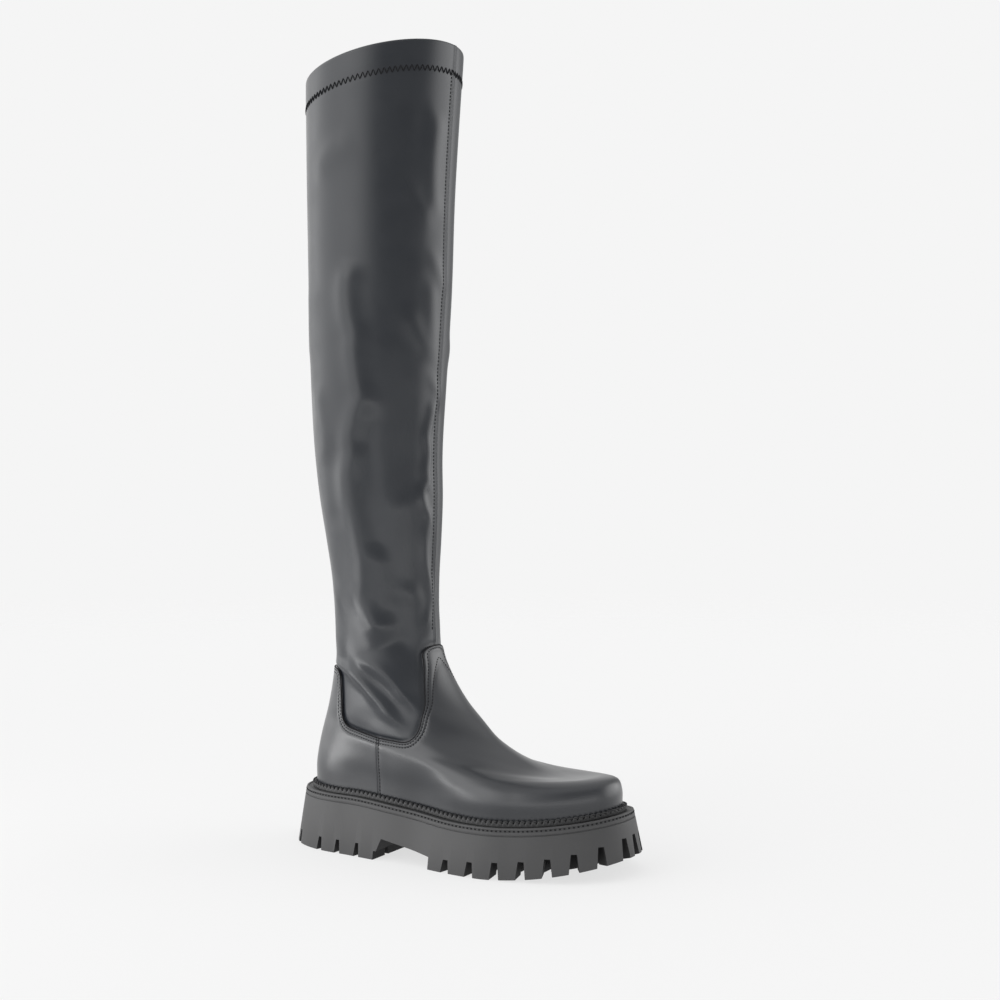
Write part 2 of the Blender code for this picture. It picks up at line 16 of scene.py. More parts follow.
import bmesh
import bpy
import numpy as np
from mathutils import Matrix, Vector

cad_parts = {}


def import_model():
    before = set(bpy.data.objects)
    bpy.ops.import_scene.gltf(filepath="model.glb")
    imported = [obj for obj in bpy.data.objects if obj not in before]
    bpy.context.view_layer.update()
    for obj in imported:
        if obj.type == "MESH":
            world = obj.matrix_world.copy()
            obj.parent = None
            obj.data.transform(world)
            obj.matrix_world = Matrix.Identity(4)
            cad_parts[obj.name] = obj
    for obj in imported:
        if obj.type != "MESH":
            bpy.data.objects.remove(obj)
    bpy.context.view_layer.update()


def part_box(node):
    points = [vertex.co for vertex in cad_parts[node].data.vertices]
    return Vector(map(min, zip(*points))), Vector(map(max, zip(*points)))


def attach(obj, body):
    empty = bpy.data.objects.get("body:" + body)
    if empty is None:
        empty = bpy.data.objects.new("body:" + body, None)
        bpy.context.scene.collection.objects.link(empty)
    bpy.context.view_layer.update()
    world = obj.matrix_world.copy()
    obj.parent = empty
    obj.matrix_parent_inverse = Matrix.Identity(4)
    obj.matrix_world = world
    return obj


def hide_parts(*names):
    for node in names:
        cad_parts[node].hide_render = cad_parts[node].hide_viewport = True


LOG = logging.getLogger("tall_boot")
MM = 0.001
TURN = 2 * math.pi

Array = np.ndarray
Field = Callable[[Array], Array]


class Side(Enum):
    """The two sides of the foot, by the sign of Y."""

    OUTER = -1.0
    INNER = 1.0


def ease(value: Array) -> Array:
    """Eases a share from 0 to 1 with a level start and end."""
    value = np.clip(value, 0.0, 1.0)
    return value * value * (3 - 2 * value)


def round_end(share: Array, power: float | Array) -> Array:
    """Half width of a rounded end: 0 at share 0, full at share 1."""
    share = np.clip(share, 0.0, 1.0)
    return (1 - (1 - share) ** power) ** (1 / power)


def catmull(rows: Array, place: Array) -> Array:
    """A smooth curve through rows of numbers.

    Args:
        rows: one row of numbers for each knot.
        place: places counted in rows.

    Returns:
        One row of numbers for each place.
    """
    last = len(rows) - 1
    first = np.clip(np.floor(place).astype(int), 0, last - 1)
    t = (place - first)[:, None]
    before, a, b, after = (rows[np.clip(first + k, 0, last)] for k in (-1, 0, 1, 2))
    return 0.5 * (2 * a + (b - before) * t + (2 * before - 5 * a + 4 * b - after) * t**2
                  + (3 * a - before - 3 * b + after) * t**3)


@dataclass(frozen=True)
class FootSection:
    """One loop of the foot, in shares of the last's length and of the ankle's rise and width."""

    back: float
    back_rise: float
    front: float
    front_rise: float
    climb: float
    plan: float
    outer: float
    inner: float
    widest: float
    point: float
    sag: float


@dataclass(frozen=True)
class ShaftSection:
    """One loop of the shaft, in shares of its rise and of the collar's length, width and lift."""

    rise: float
    lean: float
    half_length: float
    half_width: float
    tilt: float


FOOT_SECTIONS = (
    FootSection(0.000, 0.000, 1.000, 0.000, 2.0, 1.00, 0.000, 0.000, 0.50, 2.2, 1.00),
    FootSection(0.000, 0.048, 1.000, 0.048, 2.0, 1.00, 0.000, 0.000, 0.50, 2.2, 1.00),
    FootSection(0.000, 0.150, 0.999, 0.122, 2.0, 1.00, 0.007, 0.007, 0.45, 2.2, 0.98),
    FootSection(0.006, 0.245, 0.991, 0.175, 2.0, 0.74, 0.155, 0.155, 0.48, 2.2, 0.90),
    FootSection(0.014, 0.335, 0.963, 0.198, 1.8, 0.44, 0.312, 0.307, 0.48, 2.0, 0.75),
    FootSection(0.024, 0.413, 0.908, 0.196, 1.4, 0.25, 0.405, 0.398, 0.47, 1.8, 0.55),
    FootSection(0.034, 0.487, 0.837, 0.188, 1.15, 0.12, 0.453, 0.445, 0.46, 1.7, 0.35),
    FootSection(0.044, 0.561, 0.762, 0.206, 1.0, 0.05, 0.483, 0.473, 0.45, 1.65, 0.18),
    FootSection(0.052, 0.635, 0.690, 0.264, 1.0, 0.00, 0.498, 0.489, 0.45, 1.65, 0.08),
    FootSection(0.059, 0.700, 0.621, 0.342, 1.0, 0.00, 0.496, 0.488, 0.46, 1.7, 0.00),
    FootSection(0.065, 0.767, 0.567, 0.443, 1.0, 0.00, 0.495, 0.489, 0.47, 1.8, 0.00),
    FootSection(0.069, 0.833, 0.511, 0.552, 1.0, 0.00, 0.495, 0.491, 0.48, 1.9, 0.00),
    FootSection(0.071, 0.899, 0.459, 0.690, 1.0, 0.00, 0.497, 0.494, 0.49, 2.0, 0.00),
    FootSection(0.071, 0.973, 0.417, 0.855, 1.0, 0.00, 0.500, 0.498, 0.50, 2.0, 0.00),
)

SHAFT_SECTIONS = (
    ShaftSection(0.025, 0.000, 0.330, 0.329, 0.00),
    ShaftSection(0.098, -0.012, 0.338, 0.339, 0.00),
    ShaftSection(0.168, -0.026, 0.363, 0.364, 0.00),
    ShaftSection(0.239, -0.044, 0.388, 0.390, 0.00),
    ShaftSection(0.309, -0.062, 0.402, 0.403, 0.00),
    ShaftSection(0.449, -0.064, 0.430, 0.432, 0.05),
    ShaftSection(0.589, -0.054, 0.452, 0.453, 0.20),
    ShaftSection(0.766, -0.048, 0.469, 0.470, 0.55),
    ShaftSection(0.941, -0.030, 0.492, 0.494, 0.97),
    ShaftSection(1.000, -0.023, 0.500, 0.500, 1.00),
)

PLAN_SHARES = (
    (0.18, 0.525, 0.475),
    (0.34, 0.392, 0.318),
    (0.46, 0.405, 0.322),
    (0.58, 0.472, 0.405),
    (0.68, 0.505, 0.478),
    (0.76, 0.490, 0.500),
    (1.00, 0.462, 0.495),
)


@dataclass
class BootForm:
    """The boot's outer form as a smooth surface over a turn round the boot and a level from sole to collar.

    A turn of 0 is the back, pi is the front, and the outer side lies between them.
    A level counts the sections.
    """

    last_length: float = 254 * MM
    ball_width: float = 87 * MM
    heel_seat_width: float = 57 * MM
    toe_swing: float = 4 * MM
    toe_swing_start: float = 0.45
    ankle_rise: float = 120 * MM
    ankle_width: float = 70 * MM
    shaft_rise: float = 442 * MM
    collar_length: float = 130 * MM
    collar_width: float = 108 * MM
    collar_lift: float = 21 * MM
    ankle_middle: float = 0.235
    heel_height: float = 43 * MM
    platform_height: float = 35.5 * MM
    waist: tuple[float, float] = (0.20, 0.64)
    toe_lift: float = 8 * MM
    toe_lift_start: float = 0.68
    heel_round: tuple[float, float] = (0.19, 2.2)
    toe_round: tuple[float, float] = (0.69, 2.12)
    back_round: float = 2.15
    clearance: float = 0.3 * MM
    skin: float = 1.6 * MM
    ledge_width: float = 8 * MM
    wall_flare: float = 6.5 * MM
    middle: Array = field(default_factory=lambda: np.zeros(2))

    def seat(self, corner: Array) -> None:
        """Moves the form so that the sole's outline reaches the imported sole's lowest corner in plan.

        Args:
            corner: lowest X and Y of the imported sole's box.
        """
        self.middle = np.zeros(2)
        loop = self.plan_loop(self.skin + self.ledge_width + self.wall_flare, np.linspace(0, TURN, 49)[:-1])
        self.middle = loop.min(axis=0) - corner

    def half_widths(self, share: Array) -> tuple[Array, Array]:
        """Outer and inner half width of the foot's outline at a share of its length.

        Args:
            share: shares of the last's length.

        Returns:
            The outer and the inner half widths.
        """
        stations = np.array([row[0] for row in PLAN_SHARES])
        scale = np.array([self.heel_seat_width] + [self.ball_width] * (len(PLAN_SHARES) - 1))[:, None]
        widths = np.array([row[1:] for row in PLAN_SHARES]) * scale
        place = np.interp(share, stations, np.arange(len(stations)))
        both = catmull(widths, place)
        ends = round_end(share / self.heel_round[0], self.heel_round[1])
        ends = ends * round_end((1 - share) / (1 - self.toe_round[0]), self.toe_round[1])
        return both[:, 0] * ends, both[:, 1] * ends

    def centre_line(self, x: Array) -> Array:
        """How far the foot's middle swings to the inner side at a distance from the heel."""
        share = (x / self.last_length - self.toe_swing_start) / (1 - self.toe_swing_start)
        return self.toe_swing * ease(share)

    def sole_top(self, x: Array) -> Array:
        """Height of the sole's upper face at a distance from the heel.

        Args:
            x: distances from the heel.

        Returns:
            The height at each.
        """
        share = x / self.last_length
        heel = 1 - ease((share - self.waist[0]) / (self.waist[1] - self.waist[0]))
        toe = np.maximum(share - self.toe_lift_start, 0.0) / (1 - self.toe_lift_start)
        rise = (self.heel_height - self.platform_height) * heel
        return self.platform_height + rise + self.toe_lift * toe**2

    def sole_sag(self, x: Array) -> Array:
        """How far the sole's upper face dips under the straight line from heel to toe.

        Args:
            x: distances from the heel.

        Returns:
            The dip at each.
        """
        share = x / self.last_length
        ends = self.sole_top(np.array([0.0, self.last_length]))
        return self.sole_top(x) - (ends[0] * (1 - share) + ends[1] * share)

    def foot_loop(self, row: FootSection, turn: Array) -> Array:
        """Points of one foot section at each turn, measured from the heel.

        Args:
            row: the section.
            turn: turns round the boot.

        Returns:
            A point for each turn.
        """
        share = (1 - np.cos(turn)) / 2
        outer_side = np.sin(turn) > 0
        ends = self.sole_top(np.array([0.0, self.last_length]))
        back_z = ends[0] + row.back_rise * self.ankle_rise
        front_z = ends[1] + row.front_rise * self.ankle_rise
        x = (row.back * (1 - share) + row.front * share) * self.last_length
        z = front_z + (back_z - front_z) * (1 - share) ** row.climb
        swell = np.where(share < row.widest, round_end(share / row.widest, self.back_round),
                         round_end((1 - share) / (1 - row.widest), row.point))
        outer, inner = self.half_widths(share)
        half_outer = row.plan * outer + row.outer * self.ankle_width * swell
        half_inner = row.plan * inner + row.inner * self.ankle_width * swell
        y = self.centre_line(x) + np.where(outer_side, -half_outer, half_inner)
        return np.stack([x, y, z + row.sag * self.sole_sag(x)], axis=1)

    def shaft_loop(self, row: ShaftSection, turn: Array) -> Array:
        """Points of one shaft section at each turn, measured from the heel.

        Args:
            row: the section.
            turn: turns round the boot.

        Returns:
            A point for each turn.
        """
        along = -np.cos(turn)
        x = self.ankle_middle * self.last_length + (row.lean + row.half_length * along) * self.collar_length
        y = -np.sin(turn) * row.half_width * self.collar_width
        z = self.heel_height + self.ankle_rise + row.rise * self.shaft_rise
        return np.stack([x, y, z + row.tilt * self.collar_lift * along / 2], axis=1)

    @property
    def top_level(self) -> float:
        """The level of the collar's edge."""
        return float(len(FOOT_SECTIONS) + len(SHAFT_SECTIONS) - 1)

    @property
    def ankle_level(self) -> float:
        """The level of the lowest shaft section."""
        return float(len(FOOT_SECTIONS))

    def points(self, turn: Array, level: Array) -> Array:
        """Points of the form, in the boot's own frame.

        Args:
            turn: turns round the boot.
            level: levels from the sole to the collar.

        Returns:
            One point for each pair of turn and level.
        """
        loops = np.stack([self.foot_loop(row, turn) for row in FOOT_SECTIONS]
                         + [self.shaft_loop(row, turn) for row in SHAFT_SECTIONS])
        last = len(loops) - 1
        first = np.clip(np.floor(level).astype(int), 0, last - 1)
        t = np.clip(level - first, 0, 1)[:, None]
        column = np.arange(len(turn))
        before, a, b, after = (loops[np.clip(first + k, 0, last), column] for k in (-1, 0, 1, 2))
        gaps = [np.maximum(np.linalg.norm(q - p, axis=1, keepdims=True), 1e-9)
                for p, q in ((before, a), (a, b), (b, after))]
        low_end = (first == 0)[:, None]
        high_end = (first == last - 1)[:, None]
        slope = (b - a) / gaps[1]
        slope_a = (slope * gaps[0] + (a - before) / gaps[0] * gaps[1]) / (gaps[0] + gaps[1]) * gaps[1]
        slope_b = ((after - b) / gaps[2] * gaps[1] + slope * gaps[2]) / (gaps[1] + gaps[2]) * gaps[1]
        slope_a = np.where(low_end, b - a, slope_a)
        slope_b = np.where(high_end, b - a, slope_b)
        found = ((2 * t**3 - 3 * t**2 + 1) * a + (t**3 - 2 * t**2 + t) * slope_a
                 + (3 * t**2 - 2 * t**3) * b + (t**3 - t**2) * slope_b)
        found[:, :2] -= self.middle
        found[:, 2] += self.clearance
        return found

    def normals(self, turn: Array, level: Array) -> Array:
        """Outward unit normals of the form at each pair of turn and level.

        Args:
            turn: turns round the boot.
            level: levels, one for each turn.

        Returns:
            A normal for each pair.
        """
        step = 2e-3
        around = self.points(turn + step, level) - self.points(turn - step, level)
        low = np.clip(level - step, 0, self.top_level)
        high = np.clip(level + step, 0, self.top_level)
        upward = self.points(turn, high) - self.points(turn, low)
        found = np.cross(around, upward)
        return found / np.maximum(np.linalg.norm(found, axis=1, keepdims=True), 1e-12)

    def even_levels(self, low: float, high: float, step: float, turn: float = math.pi / 2) -> Array:
        """Levels that are an even distance apart, measured up the form at one turn.

        Args:
            low: the first level.
            high: the last level.
            step: the distance between them.
            turn: where it is measured.

        Returns:
            The levels.
        """
        fine = np.linspace(low, high, 2000)
        path = self.points(np.full(len(fine), turn), fine)
        length = np.concatenate([[0.0], np.cumsum(np.linalg.norm(np.diff(path, axis=0), axis=1))])
        count = max(int(round(length[-1] / step)), 2)
        return np.interp(np.linspace(0, length[-1], count + 1), length, fine)

    def plan_loop(self, offset: float, turn: Array) -> Array:
        """The foot's outline in plan, moved outwards by a distance, as X and Y.

        Args:
            offset: the distance.
            turn: turns round the boot.

        Returns:
            X and Y for each turn.
        """
        step = 1e-3
        here, ahead, behind = (self.foot_loop(FOOT_SECTIONS[0], turn + k * step)[:, :2] for k in (0, 1, -1))
        along = ahead - behind
        normal = np.stack([along[:, 1], -along[:, 0]], axis=1)
        normal /= np.linalg.norm(normal, axis=1, keepdims=True)
        return here + normal * offset - self.middle

    def plan_turns(self, offset: float, step: float) -> Array:
        """Turns that are an even distance apart along an offset outline.

        Args:
            offset: how far out the outline lies.
            step: the distance between its points.

        Returns:
            The turns.
        """
        fine = np.linspace(0, TURN, 4001)
        loop = self.plan_loop(offset, fine)
        length = np.concatenate([[0.0], np.cumsum(np.linalg.norm(np.diff(loop, axis=0), axis=1))])
        count = int(round(length[-1] / step))
        return np.interp(np.linspace(0, length[-1], count + 1)[:-1], length, fine)

    def top_at(self, x: Array) -> Array:
        """Height of the sole's upper face at an X of the boot's own frame."""
        return self.sole_top(x + self.middle[0])


@dataclass(frozen=True)
class LeatherFinish:
    """Black leather with a fine grain, soft mottling and a sheen that varies over the hide."""

    name: str
    colour: tuple[float, float, float]
    pale: tuple[float, float, float]
    roughness: tuple[float, float]
    grain_scale: float = 1500.0
    grain_depth: float = 0.05 * MM
    coat: float = 0.0
    sheen: float = 0.0

    def make(self) -> bpy.types.Material:
        """Builds the material.

        Returns:
            The material.
        """
        material = bpy.data.materials.new(self.name)
        material.use_nodes = True
        tree = material.node_tree
        nodes, links = tree.nodes, tree.links
        shader = nodes["Principled BSDF"]
        place = nodes.new("ShaderNodeTexCoord")
        mottle = nodes.new("ShaderNodeTexNoise")
        mottle.inputs["Scale"].default_value = 38.0
        mottle.inputs["Detail"].default_value = 5.0
        tone = nodes.new("ShaderNodeMix")
        tone.data_type = "RGBA"
        tone.inputs["A"].default_value = (*self.colour, 1.0)
        tone.inputs["B"].default_value = (*self.pale, 1.0)
        gloss = nodes.new("ShaderNodeMapRange")
        gloss.inputs["From Min"].default_value = 0.3
        gloss.inputs["From Max"].default_value = 0.7
        gloss.inputs["To Min"].default_value = self.roughness[0]
        gloss.inputs["To Max"].default_value = self.roughness[1]
        pores = nodes.new("ShaderNodeTexVoronoi")
        pores.feature = "SMOOTH_F1"
        pores.inputs["Scale"].default_value = self.grain_scale
        wrinkle = nodes.new("ShaderNodeTexNoise")
        wrinkle.inputs["Scale"].default_value = self.grain_scale / 4
        wrinkle.inputs["Detail"].default_value = 4.0
        grain = nodes.new("ShaderNodeMath")
        grain.operation = "ADD"
        bump = nodes.new("ShaderNodeBump")
        bump.inputs["Strength"].default_value = 0.35
        bump.inputs["Distance"].default_value = self.grain_depth
        for target in (mottle, pores, wrinkle):
            links.new(place.outputs["Object"], target.inputs["Vector"])
        links.new(mottle.outputs["Fac"], tone.inputs["Factor"])
        links.new(tone.outputs["Result"], shader.inputs["Base Color"])
        links.new(mottle.outputs["Fac"], gloss.inputs["Value"])
        links.new(gloss.outputs["Result"], shader.inputs["Roughness"])
        links.new(pores.outputs["Distance"], grain.inputs[0])
        links.new(wrinkle.outputs["Fac"], grain.inputs[1])
        links.new(grain.outputs["Value"], bump.inputs["Height"])
        links.new(bump.outputs["Normal"], shader.inputs["Normal"])
        shader.inputs["Coat Weight"].default_value = self.coat
        shader.inputs["Coat Roughness"].default_value = 0.3
        shader.inputs["Sheen Weight"].default_value = self.sheen
        shader.inputs["Sheen Roughness"].default_value = 0.5
        return material


@dataclass(frozen=True)
class RubberFinish:
    """Matte moulded rubber with a faint mould texture and dust in its tone."""

    name: str
    colour: tuple[float, float, float]
    pale: tuple[float, float, float]
    roughness: tuple[float, float]
    texture_scale: float = 900.0
    texture_depth: float = 0.04 * MM

    def make(self) -> bpy.types.Material:
        """Builds the material.

        Returns:
            The material.
        """
        material = bpy.data.materials.new(self.name)
        material.use_nodes = True
        tree = material.node_tree
        nodes, links = tree.nodes, tree.links
        shader = nodes["Principled BSDF"]
        place = nodes.new("ShaderNodeTexCoord")
        cloud = nodes.new("ShaderNodeTexNoise")
        cloud.inputs["Scale"].default_value = 60.0
        cloud.inputs["Detail"].default_value = 6.0
        tone = nodes.new("ShaderNodeMix")
        tone.data_type = "RGBA"
        tone.inputs["A"].default_value = (*self.colour, 1.0)
        tone.inputs["B"].default_value = (*self.pale, 1.0)
        gloss = nodes.new("ShaderNodeMapRange")
        gloss.inputs["To Min"].default_value = self.roughness[0]
        gloss.inputs["To Max"].default_value = self.roughness[1]
        speck = nodes.new("ShaderNodeTexNoise")
        speck.inputs["Scale"].default_value = self.texture_scale
        speck.inputs["Detail"].default_value = 3.0
        bump = nodes.new("ShaderNodeBump")
        bump.inputs["Strength"].default_value = 0.4
        bump.inputs["Distance"].default_value = self.texture_depth
        for target in (cloud, speck):
            links.new(place.outputs["Object"], target.inputs["Vector"])
        links.new(cloud.outputs["Fac"], tone.inputs["Factor"])
        links.new(tone.outputs["Result"], shader.inputs["Base Color"])
        links.new(cloud.outputs["Fac"], gloss.inputs["Value"])
        links.new(gloss.outputs["Result"], shader.inputs["Roughness"])
        links.new(speck.outputs["Fac"], bump.inputs["Height"])
        links.new(bump.outputs["Normal"], shader.inputs["Normal"])
        return material


@dataclass(frozen=True)
class FabricFinish:
    """Dark knitted lining with a fine rib."""

    name: str
    colour: tuple[float, float, float]
    pale: tuple[float, float, float]
    rib_scale: float = 700.0
    rib_depth: float = 0.15 * MM

    def make(self) -> bpy.types.Material:
        """Builds the material.

        Returns:
            The material.
        """
        material = bpy.data.materials.new(self.name)
        material.use_nodes = True
        tree = material.node_tree
        nodes, links = tree.nodes, tree.links
        shader = nodes["Principled BSDF"]
        place = nodes.new("ShaderNodeTexCoord")
        rib = nodes.new("ShaderNodeTexWave")
        rib.bands_direction = "Z"
        rib.inputs["Scale"].default_value = self.rib_scale
        rib.inputs["Distortion"].default_value = 1.2
        lint = nodes.new("ShaderNodeTexNoise")
        lint.inputs["Scale"].default_value = 420.0
        tone = nodes.new("ShaderNodeMix")
        tone.data_type = "RGBA"
        tone.inputs["A"].default_value = (*self.colour, 1.0)
        tone.inputs["B"].default_value = (*self.pale, 1.0)
        bump = nodes.new("ShaderNodeBump")
        bump.inputs["Strength"].default_value = 0.5
        bump.inputs["Distance"].default_value = self.rib_depth
        for target in (rib, lint):
            links.new(place.outputs["Object"], target.inputs["Vector"])
        links.new(lint.outputs["Fac"], tone.inputs["Factor"])
        links.new(tone.outputs["Result"], shader.inputs["Base Color"])
        links.new(rib.outputs["Fac"], bump.inputs["Height"])
        links.new(bump.outputs["Normal"], shader.inputs["Normal"])
        shader.inputs["Roughness"].default_value = 0.9
        shader.inputs["Sheen Weight"].default_value = 0.2
        return material


@dataclass(frozen=True)
class ThreadFinish:
    """Waxed thread with a fine twist."""

    name: str
    colour: tuple[float, float, float]
    roughness: float = 0.8
    gloss: float = 0.25

    def make(self) -> bpy.types.Material:
        """Builds the material.

        Returns:
            The material.
        """
        material = bpy.data.materials.new(self.name)
        material.use_nodes = True
        tree = material.node_tree
        nodes, links = tree.nodes, tree.links
        shader = nodes["Principled BSDF"]
        place = nodes.new("ShaderNodeTexCoord")
        twist = nodes.new("ShaderNodeTexWave")
        twist.bands_direction = "DIAGONAL"
        twist.inputs["Scale"].default_value = 800.0
        tone = nodes.new("ShaderNodeMix")
        tone.data_type = "RGBA"
        tone.inputs["A"].default_value = (*self.colour, 1.0)
        tone.inputs["B"].default_value = (*(c * 1.6 for c in self.colour), 1.0)
        bump = nodes.new("ShaderNodeBump")
        bump.inputs["Strength"].default_value = 0.4
        bump.inputs["Distance"].default_value = 0.05 * MM
        links.new(place.outputs["Object"], twist.inputs["Vector"])
        links.new(twist.outputs["Fac"], tone.inputs["Factor"])
        links.new(tone.outputs["Result"], shader.inputs["Base Color"])
        links.new(twist.outputs["Fac"], bump.inputs["Height"])
        links.new(bump.outputs["Normal"], shader.inputs["Normal"])
        shader.inputs["Roughness"].default_value = self.roughness
        shader.inputs["Specular IOR Level"].default_value = self.gloss
        return material


def add_piece(name: str, points: Array, faces: Iterable[Sequence[int]], material: bpy.types.Material,
              slot: str | None, sharp: float | None = None) -> bpy.types.Object:
    """Makes one visible piece of the boot and lets it ride on the part's body.

    Args:
        name: the piece's name.
        points: its vertices.
        faces: its faces, as indexes of vertices.
        material: its finish.
        slot: a name of the record's material slot, only tested to attach the piece to the root body, or None
            for the floor.
        sharp: the angle over which an edge is shown sharp, or None for a soft piece.

    Returns:
        The new object.
    """
    mesh = bpy.data.meshes.new(name)
    mesh.from_pydata(np.asarray(points, float).tolist(), [], [tuple(map(int, face)) for face in faces])
    mesh.update()
    mesh.materials.append(material)
    mesh.shade_smooth()
    if sharp is not None:
        mesh.set_sharp_from_angle(angle=sharp)
    piece = bpy.data.objects.new(name, mesh)
    bpy.context.scene.collection.objects.link(piece)
    if slot:
        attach(piece, "root")
    return piece


def grid_faces(rows: int, columns: int, closed: bool) -> Array:
    """Quads of a grid of points whose rows follow each other.

    Args:
        rows: number of rows.
        columns: number of points in a row.
        closed: whether each row is a closed loop.

    Returns:
        Faces that look to the outside when the rows turn from the back over the outer side and rise.
    """
    wide = columns if closed else columns - 1
    row, column = np.meshgrid(np.arange(rows - 1), np.arange(wide), indexing="ij")
    following = (column + 1) % columns
    quads = np.stack([row * columns + column, row * columns + following,
                      (row + 1) * columns + following, (row + 1) * columns + column], axis=-1)
    return quads.reshape(-1, 4)


def rounded(corners: Sequence[tuple[float, float, float]], steps: int = 8) -> Array:
    """An open outline whose inner corners are arcs.

    Args:
        corners: two coordinates and a radius for each corner.
        steps: points on each arc.

    Returns:
        The outline's points.
    """
    points = [np.array(corners[0][:2])]
    for before, corner, after in zip(corners, corners[1:], corners[2:]):
        here = np.array(corner[:2])
        to_before = np.array(before[:2]) - here
        to_after = np.array(after[:2]) - here
        reach = [np.linalg.norm(to_before), np.linalg.norm(to_after)]
        to_before, to_after = to_before / reach[0], to_after / reach[1]
        half_angle = math.acos(float(np.clip(to_before @ to_after, -1, 1))) / 2
        tangent = min(corner[2] / math.tan(half_angle), 0.49 * min(reach))
        start, end = here + to_before * tangent, here + to_after * tangent
        for share in np.linspace(0, 1, steps + 1):
            points.append((1 - share) ** 2 * start + 2 * share * (1 - share) * here + share**2 * end)
    points.append(np.array(corners[-1][:2]))
    return np.array(points)


def distance_to_path(points: Array, path: Array) -> tuple[Array, Array]:
    """Distance from points to an open path in the plane.

    Args:
        points: points in the plane.
        path: the path's points.

    Returns:
        The distances, and how far along the path each nearest place is, as a share of its length.
    """
    best = np.full(len(points), np.inf)
    along = np.zeros(len(points))
    lengths = np.linalg.norm(np.diff(path, axis=0), axis=1)
    total = lengths.sum()
    start = 0.0
    for a, b, length in zip(path, path[1:], lengths):
        if length < 1e-9:
            continue
        share = np.clip(((points - a) @ (b - a)) / length**2, 0, 1)
        gap = np.linalg.norm(points - (a + share[:, None] * (b - a)), axis=1)
        nearer = gap < best
        best[nearer] = gap[nearer]
        along[nearer] = (start + share[nearer] * length) / total
        start += length
    return best, along


def smooth_path(corners: Array, steps: int = 6) -> Array:
    """A smooth path through a few points of the plane."""
    return catmull(corners, np.linspace(0, len(corners) - 1, steps * (len(corners) - 1) + 1))


def signed_distance(points: Array, path: Array) -> tuple[Array, Array]:
    """Distance to an open path that runs up or down, and the place of the nearest point along it.

    Args:
        points: points in the plane.
        path: the path's points.

    Returns:
        The distances, negative where the first coordinate is under the path's, and the shares of its length.
    """
    gap, along = distance_to_path(points, path)
    length = np.concatenate([[0.0], np.cumsum(np.linalg.norm(np.diff(path, axis=0), axis=1))])
    nearest = np.stack([np.interp(along * length[-1], length, path[:, k]) for k in range(2)], axis=1)
    return gap * np.where(points[:, 0] < nearest[:, 0], -1.0, 1.0), along


def inside_outline(points: Array, outline: Array) -> Array:
    """Whether each point lies inside a closed outline.

    Args:
        points: places to test.
        outline: its corners in order.

    Returns:
        True for each point inside.
    """
    inside = np.zeros(len(points), bool)
    for (ax, az), (bx, bz) in zip(outline, np.roll(outline, -1, axis=0)):
        if az == bz:
            continue
        spans = (az > points[:, 1]) != (bz > points[:, 1])
        crossing = ax + (points[:, 1] - az) / (bz - az) * (bx - ax)
        inside ^= spans & (points[:, 0] < crossing)
    return inside


